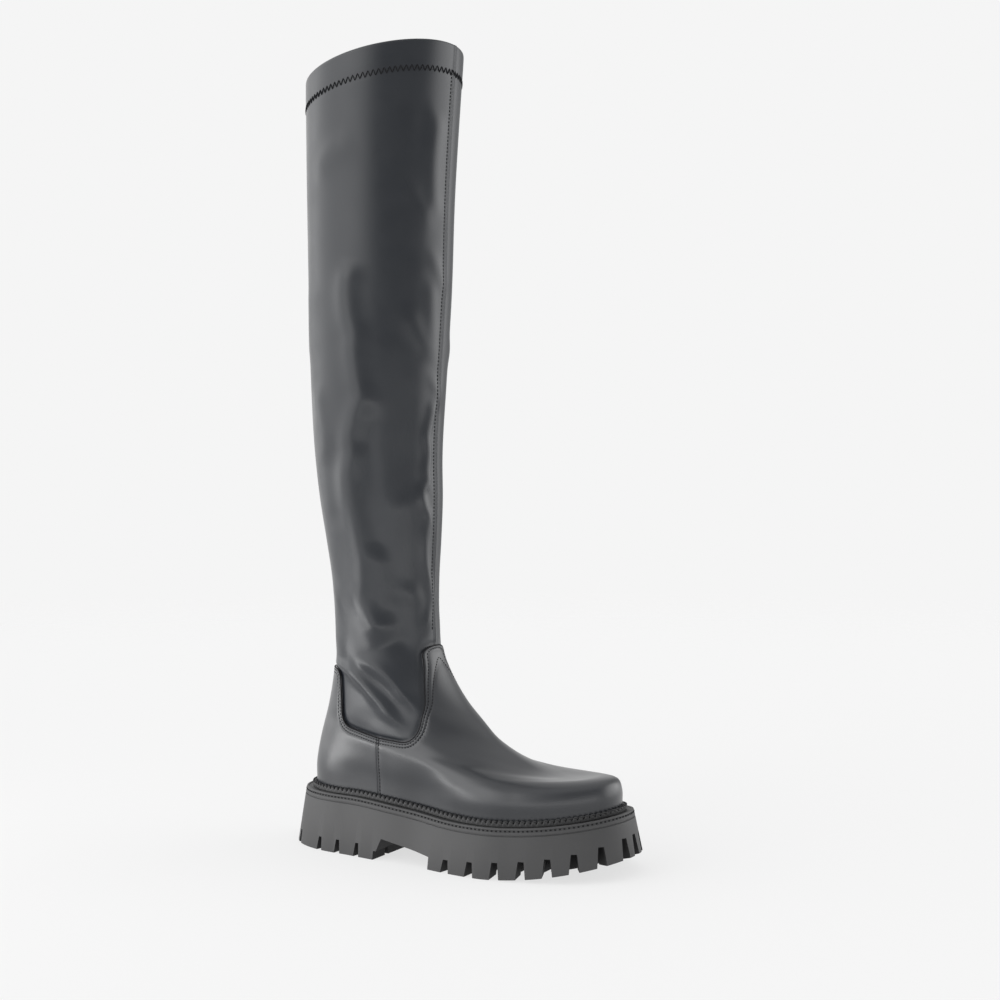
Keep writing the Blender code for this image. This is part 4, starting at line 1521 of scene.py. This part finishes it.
@dataclass
class PlatformSole:
    """The sole unit: a flared platform with edge lugs, a moulded band and ledge, and a tread."""

    form: BootForm
    toe_spring: float = 15 * MM
    toe_spring_start: float = 0.65
    band_height: float = 5 * MM
    line: tuple[float, float] = (0.9 * MM, 0.7 * MM)
    lip_radius: float = 0.8 * MM
    dot_groove: tuple[float, float, float] = (2.2 * MM, 0.75 * MM, 0.5 * MM)
    lug_height: float = 12 * MM
    waist_lug_height: float = 8.8 * MM
    heel_lug_height: float = 10 * MM
    full_lug_station: float = 0.75
    ring_channel_depth: float = 7 * MM
    cross_channel_depth: float = 6 * MM
    channel_width: float = 4.5 * MM
    lug_reach: float = 17 * MM
    breast_station: float = 0.332
    fore_station: float = 0.509
    breast_step: tuple[float, float, float] = (6.5 * MM, 2.5 * MM, 4 * MM)
    arch_height: float = 16 * MM
    margin: float = 8 * MM
    tip_groove_reach: float = 9 * MM
    channel_draft: float = 0.3 * MM
    heel_groove: Groove = Groove(5.2 * MM, 3.0 * MM)
    fore_groove: Groove = Groove(7.2 * MM, 4.3 * MM)
    heel_grooves: tuple[float, ...] = (0.050, 0.146, 0.209, 0.275)
    fore_grooves: tuple[float, ...] = (0.564, 0.637, 0.708, 0.774, 0.838, 0.898, 0.954, 0.9925)
    heel_channels: tuple[float, ...] = (0.178,)
    fore_channels: tuple[float, ...] = (0.60, 0.673, 0.741, 0.806)
    step: float = 2.4 * MM
    sharp_angle: float = 0.55
    dot_seat: float = 0.6
    turns: Array = field(init=False)
    reach: float = field(init=False)
    ends: tuple[float, float] = field(init=False)

    def __post_init__(self) -> None:
        """Lays out the stations round the sole."""
        form = self.form
        self.reach = form.skin + form.ledge_width + form.wall_flare
        half = form.plan_turns(self.reach, self.step)
        half = half[half < math.pi]
        half = half * math.pi / (half[-1] + half[1] / 2)
        half[0] = 0.0
        self.turns = np.concatenate([half, [math.pi], TURN - half[:0:-1]])
        loop = form.plan_loop(self.reach, self.turns)
        self.ends = (float(loop[:, 0].min()), float(loop[:, 0].max()))

    def bottom_at(self, x: Array) -> Array:
        """Height of the lugs' feet at an X.

        Args:
            x: the X of each place.

        Returns:
            The height at each.
        """
        share = (x - self.ends[0]) / (self.ends[1] - self.ends[0])
        rise = np.maximum(share - self.toe_spring_start, 0.0) / (1 - self.toe_spring_start)
        return self.toe_spring * rise**2

    def wall_loop(self, drop: float, inset: float = 0.0, rise: float = 0.0) -> Array:
        """A loop of the flared wall.

        Args:
            drop: how far it lies under the ledge.
            inset: how far it is set into the wall.
            rise: how far it lies over the lugs' feet, where drop is 0.

        Returns:
            The loop's points.
        """
        form = self.form
        full = form.plan_loop(self.reach, self.turns)
        ledge = form.plan_loop(form.skin + form.ledge_width, self.turns)
        bottom = self.bottom_at(full[:, 0])
        top = form.top_at(ledge[:, 0])
        height = bottom + rise if rise else top - drop
        share = np.clip((height - bottom) / (top - bottom), 0, 1)
        outward = full - ledge
        outward /= np.linalg.norm(outward, axis=1, keepdims=True)
        plan = full * (1 - share[:, None]) + ledge * share[:, None] - outward * inset
        return np.column_stack([plan, height])

    def ledge_loop(self, offset: float, drop: float = 0.0) -> Array:
        """A loop on the ledge at an offset from the form."""
        plan = self.form.plan_loop(offset, self.turns)
        return np.column_stack([plan, self.form.top_at(plan[:, 0]) - drop])

    def block(self) -> bpy.types.Object:
        """The sole before its tread is cut.

        Returns:
            The sole.
        """
        width, depth = self.line
        below, half, sink = self.dot_groove
        loops = [self.wall_loop(0, 0.5 * MM, 1e-9)]
        loops[0][:, 2] = self.bottom_at(self.wall_loop(0, 0, 1e-9)[:, 0])
        loops += [self.wall_loop(0, 0.15 * MM, 0.15 * MM), self.wall_loop(0, 0.0, 0.55 * MM)]
        band = self.band_height
        for drop, inset in ((band + width + 0.35 * MM, 0.0), (band + width + 0.05 * MM, 0.08 * MM),
                            (band + 0.8 * width, depth), (band + 0.2 * width, depth),
                            (band - 0.05 * MM, 0.08 * MM), (band - 0.35 * MM, -0.02 * MM),
                            (below + half + 0.4 * MM, 0.0), (below + half, 0.08 * MM),
                            (below + 0.45 * half, sink), (below - 0.45 * half, sink),
                            (below - half, 0.12 * MM), (below - half - 0.25 * MM, 0.0)):
            loops.append(self.wall_loop(drop, inset))
        edge = self.form.skin + self.form.ledge_width
        radius = self.lip_radius
        for angle in (0.25, 0.5, 0.75, 1.0):
            turn = angle * math.pi / 2
            loops.append(self.ledge_loop(edge - radius * (1 - math.cos(turn)), radius * (1 - math.sin(turn))))
        for offset, drop in ((edge - 1.7 * MM, 0.05 * MM), (edge - 2.1 * MM, 0.5 * MM),
                             (edge - 3.0 * MM, 0.6 * MM), (edge - 4.6 * MM, 0.6 * MM),
                             (edge - 5.2 * MM, 0.6 * MM), (self.form.skin, 0.6 * MM)):
            loops.append(self.ledge_loop(offset, drop))
        count = len(self.turns)
        rows = np.array(loops)
        faces = grid_faces(len(rows), count, True).tolist()
        half_count = count // 2
        last = (len(rows) - 1) * count
        for k in range(half_count):
            ring = [k, k + 1, (count - k - 1) % count, (count - k) % count]
            ring = list(dict.fromkeys(ring))
            faces.append(ring[::-1])
            faces.append([last + n for n in ring])
        mesh = bpy.data.meshes.new("platform_sole")
        mesh.from_pydata(rows.reshape(-1, 3).tolist(), [], faces)
        made = bpy.data.objects.new("platform_sole", mesh)
        bpy.context.scene.collection.objects.link(made)
        return made

    def cut(self, target: bpy.types.Object, points: Array, faces: Sequence[Sequence[int]]) -> None:
        """Cuts a closed shape out of the sole.

        Args:
            target: the sole.
            points: the shape's corners.
            faces: its faces.
        """
        mesh = bpy.data.meshes.new("cutter")
        mesh.from_pydata(np.asarray(points, float).tolist(), [], [tuple(map(int, face)) for face in faces])
        for material in target.data.materials:
            mesh.materials.append(material)
        # Faces cut by a shape take the second, darker finish: painted shade in the grooves, channels and
        # arch.
        mesh.polygons.foreach_set("material_index", [1] * len(mesh.polygons))
        cutter = bpy.data.objects.new("cutter", mesh)
        bpy.context.scene.collection.objects.link(cutter)
        bpy.context.view_layer.update()
        modifier = target.modifiers.new("cut", "BOOLEAN")
        modifier.object = cutter
        modifier.solver = "EXACT"
        evaluated = target.evaluated_get(bpy.context.evaluated_depsgraph_get())
        result = bpy.data.meshes.new_from_object(evaluated)
        target.modifiers.clear()
        facets = bmesh.new()
        facets.from_mesh(result)
        bmesh.ops.triangulate(facets, faces=facets.faces)
        facets.to_mesh(result)
        facets.free()
        target.data = result
        bpy.data.objects.remove(cutter)

    def cut_bar(self, sole: bpy.types.Object, start: Array, end: Array, kind: Groove, height: float) -> None:
        """Cuts a bar that is wider at the floor than at its top.

        Args:
            sole: the sole.
            start: one end in plan.
            end: the other end in plan.
            kind: its widths.
            height: its height over the lug's foot at its start.
        """
        base = float(self.bottom_at(start[0]))
        along = (start - end) / np.linalg.norm(start - end)
        across = np.array([-along[1], along[0]])
        deep = self.margin + base
        low = kind.foot_width / 2 + (kind.foot_width - kind.top_width) / 2 / height * deep
        top = kind.top_width / 2
        profile = ((-low, base - deep), (low, base - deep), (top, base + height), (-top, base + height))
        points = [(*(flat + across * shift), z) for flat in (start, end) for shift, z in profile]
        sides = grid_faces(2, 4, True)[:, ::-1]
        self.cut(sole, points, [(0, 1, 2, 3), (7, 6, 5, 4)] + [tuple(face) for face in sides.tolist()])

    def lug_height_at(self, station: float) -> float:
        """Height of the edge lugs at a share of the sole's length.

        Args:
            station: the share.

        Returns:
            The height.
        """
        if station < self.breast_station:
            return self.heel_lug_height
        share = (station - self.fore_station) / (self.full_lug_station - self.fore_station)
        rise = (self.lug_height - self.waist_lug_height) * float(ease(np.array(share)))
        return self.waist_lug_height + rise

    def cut_grooves(self, sole: bpy.types.Object) -> None:
        """Cuts the grooves between the edge lugs and the one at the toe's tip.

        Args:
            sole: the sole.
        """
        fine = np.linspace(0, math.pi, 1500)
        depth = self.lug_reach + self.channel_width / 2
        for side in Side:
            turns = fine if side is Side.OUTER else TURN - fine
            loop = self.form.plan_loop(self.reach, turns)
            normal = self.form.plan_loop(self.reach + MM, turns) - loop
            normal /= np.linalg.norm(normal, axis=1, keepdims=True)
            for kind, stations in ((self.heel_groove, self.heel_grooves),
                                   (self.fore_groove, self.fore_grooves)):
                for station in stations:
                    target = self.ends[0] + station * (self.ends[1] - self.ends[0])
                    near = int(np.argmin(np.abs(loop[:, 0] - target)))
                    start = loop[near] + normal[near] * self.margin
                    self.cut_bar(sole, start, loop[near] - normal[near] * depth, kind,
                                 self.lug_height_at(station))
        tip = self.form.plan_loop(self.reach, np.array([math.pi]))[0]
        forward = np.array([1.0, 0.0])
        self.cut_bar(sole, tip + forward * self.margin, tip - forward * self.tip_groove_reach,
                     self.fore_groove, self.lug_height)

    def cut_channels(self, sole: bpy.types.Object) -> None:
        """Cuts the channel behind the edge lugs and the channels across the tread.

        Args:
            sole: the sole.
        """
        rings = []
        for inset in (self.lug_reach, self.lug_reach + self.channel_width):
            plan = self.form.plan_loop(self.reach - inset, self.turns)
            bottom = self.bottom_at(plan[:, 0])
            rings += [np.column_stack([plan, bottom - self.margin]),
                      np.column_stack([plan, bottom + self.ring_channel_depth])]
        count = len(self.turns)
        order = (0, 1, 3, 2, 0)
        faces = []
        for a, b in zip(order, order[1:]):
            for k in range(count):
                n = (k + 1) % count
                faces.append((a * count + k, a * count + n, b * count + n, b * count + k))
        self.cut(sole, np.concatenate(rings), faces)
        form = self.form
        for station in self.heel_channels + self.fore_channels:
            x = self.ends[0] + station * (self.ends[1] - self.ends[0])
            share = np.array([(x + form.middle[0]) / form.last_length])
            outer, inner = (float(w[0]) + self.reach - self.lug_reach - self.channel_width / 2
                            for w in form.half_widths(share))
            y = float(form.centre_line(share[0] * form.last_length)) - form.middle[1]
            draft = Groove(self.channel_width, self.channel_width - 2 * self.channel_draft)
            self.cut_bar(sole, np.array([x, y + inner]), np.array([x, y - outer]), draft,
                         self.cross_channel_depth)

    def cut_arch(self, sole: bpy.types.Object) -> None:
        """Cuts the opening between the heel's breast and the forefoot.

        Args:
            sole: the sole.
        """
        length = self.ends[1] - self.ends[0]
        breast = self.ends[0] + self.breast_station * length
        fore = self.ends[0] + self.fore_station * length
        step_height, step_depth, lean = self.breast_step
        outline = [(breast, -self.margin), (fore, -self.margin), (fore, self.waist_lug_height),
                   (breast + step_depth + lean, self.arch_height), (breast + step_depth, step_height),
                   (breast, step_height)]
        count = len(outline)
        points = [(x, y, z) for y in (-0.2, 0.2) for x, z in outline]
        faces = [tuple(range(count)), tuple(range(2 * count - 1, count - 1, -1))]
        faces += [tuple(face[::-1]) for face in grid_faces(2, count, True).tolist()]
        self.cut(sole, points, faces)

    def build(self, material: bpy.types.Material, tread: bpy.types.Material,
              thread: bpy.types.Material) -> list[bpy.types.Object]:
        """Makes the sole and the moulded stitches round its band.

        Args:
            material: the wall's finish.
            tread: the finish of the grooves, channels and arch, darker than the wall as painted shade.
            thread: the black finish of the dots round the band; their black is painted shade of the moulded
                stitch pits.

        Returns:
            The sole and its stitches.
        """
        sole = self.block()
        sole.data.materials.append(material)
        sole.data.materials.append(tread)
        self.cut_arch(sole)
        self.cut_channels(sole)
        self.cut_grooves(sole)
        sole.data.shade_smooth()
        sole.data.set_sharp_from_angle(angle=self.sharp_angle)
        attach(sole, "root")
        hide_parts("outsole")
        below, _, sink = self.dot_groove
        seat = self.dot_seat * sink
        path = self.wall_loop(below, seat)
        normals = path - self.wall_loop(below, seat + MM)
        normals /= np.linalg.norm(normals, axis=1, keepdims=True)
        # Black dots seated in the band's groove: their black is painted shade of the moulded stitch pits.
        maker = Stitching(pitch=3.3 * MM, length=1.5 * MM, thickness=1.0 * MM, bulge=0.05 * MM)
        pit_shade_dots = add_piece("band_pit_shade_dots", *maker.mesh(*maker.spans_along(path, normals, True)), thread,
                         "welt_rubber")
        return [sole, pit_shade_dots]


@dataclass
class WeltStrip:
    """The strip on the ledge, scalloped between its large stitches."""

    form: BootForm
    width: float = 2.6 * MM
    height: float = 3.8 * MM
    corner: float = 1.0 * MM
    pitch: float = 4.2 * MM
    samples: int = 8
    notch: float = 1.2 * MM
    notch_reach: float = 0.5 * MM
    seat_drop: float = 0.6 * MM
    foot_share: float = 0.45
    thread_place: float = 0.45
    thread_sink: float = 0.35 * MM
    thread_step: float = 0.8 * MM

    def build(self, material: bpy.types.Material, thread: bpy.types.Material) -> list[bpy.types.Object]:
        """Makes the strip and its stitches.

        Args:
            material: the strip's finish.
            thread: the stitches' finish.

        Returns:
            The new pieces.
        """
        form = self.form
        inside = form.skin + form.clearance
        outside = inside + self.width
        turns = form.plan_turns(outside, self.pitch / self.samples)
        turns = turns[: len(turns) // self.samples * self.samples]
        phase = np.arange(len(turns)) / self.samples
        gap = np.abs(np.mod(phase, 1.0) - 0.5) * 2
        pinch = np.exp(-(((1 - gap) * 0.5 * self.pitch) / self.notch_reach) ** 2)
        base = form.clearance - self.seat_drop
        profile = [(inside, base, 0.0), (outside, base, 0.0), (outside, self.height * self.foot_share, 0.0)]
        for angle in np.linspace(0, math.pi / 2, 5):
            profile.append((outside - self.corner * (1 - math.cos(angle)),
                            self.height - self.corner * (1 - math.sin(angle)), 1.0))
        profile += [(inside + 0.5 * MM, self.height, 0.8), (inside, self.height - 0.4 * MM, 0.4)]
        loops = []
        for offset, rise, share in profile:
            plan = form.plan_loop(offset, turns)
            inner = form.plan_loop(offset - MM, turns)
            inward = inner - plan
            inward /= np.linalg.norm(inward, axis=1, keepdims=True)
            plan = plan + inward * (pinch * self.notch * share)[:, None]
            top = form.top_at(plan[:, 0]) + rise - pinch * self.notch * share
            loops.append(np.column_stack([plan, top]))
        rows = np.array(loops + [loops[0]])
        faces = grid_faces(len(rows), len(turns), True)
        strip = add_piece("welt_strip", rows.reshape(-1, 3), faces, material, "welt_rubber", 0.9)
        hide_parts("welt")
        middle = outside - self.thread_place * self.corner
        path_turns = form.plan_turns(middle, self.thread_step)
        plan = form.plan_loop(middle, path_turns)
        outward = plan - form.plan_loop(middle - MM, path_turns)
        outward /= np.linalg.norm(outward, axis=1, keepdims=True)
        path = np.column_stack([plan, form.top_at(plan[:, 0]) + self.height - self.thread_sink])
        normals = np.column_stack([outward, np.ones(len(plan))]) / math.sqrt(2)
        maker = Stitching(pitch=self.pitch, length=3.2 * MM, thickness=1.5 * MM, bulge=0.2 * MM,
                          slant=0.5 * MM)
        stitches = add_piece("welt_stitches", *maker.mesh(*maker.spans_along(path, normals, True)), thread,
                             "welt_rubber")
        return [strip, stitches]


@dataclass(frozen=True)
class SoftWall:
    """A broad soft light of the studio, by its direction from the boot and how far it spreads."""

    heading: float
    height: float
    strength: float
    full: float
    end: float

    def direction(self) -> tuple[float, float, float]:
        """The direction from the boot to the light's middle."""
        heading, height = math.radians(self.heading), math.radians(self.height)
        return (math.sin(heading) * math.cos(height), -math.cos(heading) * math.cos(height), math.sin(height))


@dataclass(frozen=True)
class LightBar:
    """A low bar of light that faces the boot, by its place, its size and its power."""

    name: str
    place: tuple[float, float, float]
    size: tuple[float, float]
    power: float

    def build(self) -> None:
        """Makes the bar, which the lower shaft and the foot mirror."""
        data = bpy.data.lights.new(self.name, "AREA")
        data.shape = "RECTANGLE"
        data.size, data.size_y = self.size
        data.energy = self.power
        light = bpy.data.objects.new(self.name, data)
        light.location = self.place
        light.rotation_euler = (math.radians(90), 0.0, math.atan2(self.place[0], -self.place[1]))
        light.visible_camera = False
        bpy.context.scene.collection.objects.link(light)


@dataclass
class Studio:
    """A pale floor, soft lights and the camera at the photograph's angle.

    A light's heading is in degrees from the front of the outer side, positive towards the toe.
    """

    position: tuple[float, float, float] = (0.535, -0.9133, 0.263)
    heading: float = 28.8
    pitch: float = 0.29
    lens: float = 50.0
    backdrop: float = 0.913
    base_light: float = 0.42
    walls: tuple[SoftWall, ...] = (
        SoftWall(-48, 5, 1.7, 34, 58),
        SoftWall(128, 5, 2.4, 14, 46),
        SoftWall(239, 10, 0.8, 20, 50),
        SoftWall(0, 90, 0.6, 15, 65),
        SoftWall(-26, 24, 0.8, 6, 24),
    )
    bars: tuple[LightBar, ...] = (
        LightBar("front_bar", (0.60, -0.78, 0.04), (1.6, 0.16), 2.2),
        LightBar("side_bar", (-0.48, -0.39, 0.04), (0.45, 0.11), 1.0),
    )
    floor_radius: tuple[float, float] = (1.6, 3.2)
    floor_colour: float = 0.2
    floor_glow: float = 0.685

    def build_camera(self) -> None:
        """Makes the camera."""
        data = bpy.data.cameras.new("camera")
        data.lens = self.lens
        data.sensor_width = 36.0
        camera = bpy.data.objects.new("camera", data)
        camera.location = self.position
        camera.rotation_euler = (math.radians(90 + self.pitch), 0.0, math.radians(self.heading))
        bpy.context.scene.collection.objects.link(camera)
        bpy.context.scene.camera = camera
        bpy.context.scene.view_settings.view_transform = "Standard"

    def build_world(self) -> None:
        """Makes the pale backdrop, and the soft walls of light round the boot."""
        world = bpy.data.worlds.new("studio")
        world.use_nodes = True
        nodes, links = world.node_tree.nodes, world.node_tree.links
        lit = nodes["Background"]
        lit.inputs["Color"].default_value = (1.0, 1.0, 1.0, 1.0)
        place = nodes.new("ShaderNodeTexCoord")
        total = nodes.new("ShaderNodeValue").outputs["Value"]
        total.default_value = self.base_light
        for wall in self.walls:
            facing = nodes.new("ShaderNodeVectorMath")
            facing.operation = "DOT_PRODUCT"
            facing.inputs[1].default_value = wall.direction()
            spread = nodes.new("ShaderNodeMapRange")
            spread.interpolation_type = "SMOOTHSTEP"
            spread.inputs["From Min"].default_value = math.cos(math.radians(wall.end))
            spread.inputs["From Max"].default_value = math.cos(math.radians(wall.full))
            spread.inputs["To Max"].default_value = wall.strength
            join = nodes.new("ShaderNodeMath")
            links.new(place.outputs["Generated"], facing.inputs[0])
            links.new(facing.outputs["Value"], spread.inputs["Value"])
            links.new(spread.outputs["Result"], join.inputs[0])
            links.new(total, join.inputs[1])
            total = join.outputs["Value"]
        links.new(total, lit.inputs["Strength"])
        shown = nodes.new("ShaderNodeBackground")
        shown.inputs["Color"].default_value = (self.backdrop, self.backdrop, self.backdrop, 1.0)
        path = nodes.new("ShaderNodeLightPath")
        mix = nodes.new("ShaderNodeMixShader")
        links.new(path.outputs["Is Camera Ray"], mix.inputs["Fac"])
        links.new(lit.outputs["Background"], mix.inputs[1])
        links.new(shown.outputs["Background"], mix.inputs[2])
        links.new(mix.outputs["Shader"], nodes["World Output"].inputs["Surface"])
        bpy.context.scene.world = world

    def build_floor(self) -> None:
        """Makes the floor, which runs out softly into the backdrop."""
        material = bpy.data.materials.new("studio_floor")
        material.use_nodes = True
        nodes, links = material.node_tree.nodes, material.node_tree.links
        shader = nodes["Principled BSDF"]
        tone = self.floor_colour
        shader.inputs["Base Color"].default_value = (tone, tone, tone, 1.0)
        shader.inputs["Roughness"].default_value = 1.0
        shader.inputs["Specular IOR Level"].default_value = 0.0
        shader.inputs["Emission Color"].default_value = (1.0, 1.0, 1.0, 1.0)
        shader.inputs["Emission Strength"].default_value = self.floor_glow
        place = nodes.new("ShaderNodeTexCoord")
        reach = nodes.new("ShaderNodeVectorMath")
        reach.operation = "LENGTH"
        fade = nodes.new("ShaderNodeMapRange")
        fade.interpolation_type = "SMOOTHSTEP"
        fade.inputs["From Min"].default_value = self.floor_radius[0]
        fade.inputs["From Max"].default_value = self.floor_radius[1]
        clear = nodes.new("ShaderNodeBsdfTransparent")
        mix = nodes.new("ShaderNodeMixShader")
        links.new(place.outputs["Object"], reach.inputs[0])
        links.new(reach.outputs["Value"], fade.inputs["Value"])
        links.new(fade.outputs["Result"], mix.inputs["Fac"])
        links.new(shader.outputs["BSDF"], mix.inputs[1])
        links.new(clear.outputs["BSDF"], mix.inputs[2])
        links.new(mix.outputs["Shader"], nodes["Material Output"].inputs["Surface"])
        size = self.floor_radius[1]
        corners = np.array([(-size, -size, 0), (size, -size, 0), (size, size, 0), (-size, size, 0)], float)
        floor = add_piece("floor", corners, [(0, 1, 2, 3)], material, None)

    def build(self) -> None:
        """Makes the whole studio."""
        for bar in self.bars:
            bar.build()
        self.build_camera()
        self.build_world()
        self.build_floor()


SMOOTH_LEATHER = LeatherFinish("smooth_black_leather", (0.011, 0.0125, 0.016), (0.016, 0.018, 0.022),
                               (0.30, 0.38), coat=0.35)
STRETCH_LEATHER = LeatherFinish("stretch_black_leather", (0.012, 0.0145, 0.019), (0.017, 0.0195, 0.024),
                                (0.30, 0.38), grain_scale=1900.0, grain_depth=0.04 * MM)
SOLE_RUBBER = RubberFinish("sole_rubber_matte", (0.034, 0.034, 0.035), (0.045, 0.045, 0.046), (0.55, 0.63))
# Darker rubber for the cut faces: painted shade in the grooves, channels and arch.
GROOVE_SHADE_RUBBER = RubberFinish("groove_painted_shade_rubber", (0.010, 0.010, 0.011), (0.016, 0.016, 0.017), (0.75, 0.85))
WELT_RUBBER = RubberFinish("welt_rubber_black", (0.013, 0.013, 0.014), (0.020, 0.020, 0.021), (0.45, 0.55))
LINING = FabricFinish("knit_lining", (0.035, 0.035, 0.037), (0.055, 0.055, 0.058))
BLACK_THREAD = ThreadFinish("black_thread", (0.005, 0.005, 0.006))
GREY_THREAD = ThreadFinish("grey_thread", (0.024, 0.024, 0.025))


def main() -> None:
    """Builds every piece of the boot and the studio, in order."""
    logging.basicConfig(level=logging.INFO, format="%(name)s: %(message)s")
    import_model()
    form = BootForm()
    form.seat(np.array(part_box("outsole")[0][:2]))
    Studio().build()
    smooth_leather = SMOOTH_LEATHER.make()
    black_thread = BLACK_THREAD.make()
    lining = LINING.make()
    overlays = Overlays(form)
    upper = StretchUpper(form, overlays.below_topline)
    pieces = [upper.build(STRETCH_LEATHER.make()), upper.build_lining(lining),
              upper.build_stitches(black_thread)]
    pieces += overlays.build(smooth_leather, black_thread)
    pieces += PlatformSole(form).build(SOLE_RUBBER.make(), GROOVE_SHADE_RUBBER.make(), black_thread)
    pieces += WeltStrip(form).build(WELT_RUBBER.make(), GREY_THREAD.make())
    insole = bpy.data.objects["insole"]
    for held in insole.material_slots:
        held.material = lining
    for piece in pieces:
        LOG.info("%s: %d faces", piece.name, len(piece.data.polygons))


if __name__ == "__main__":
    main()
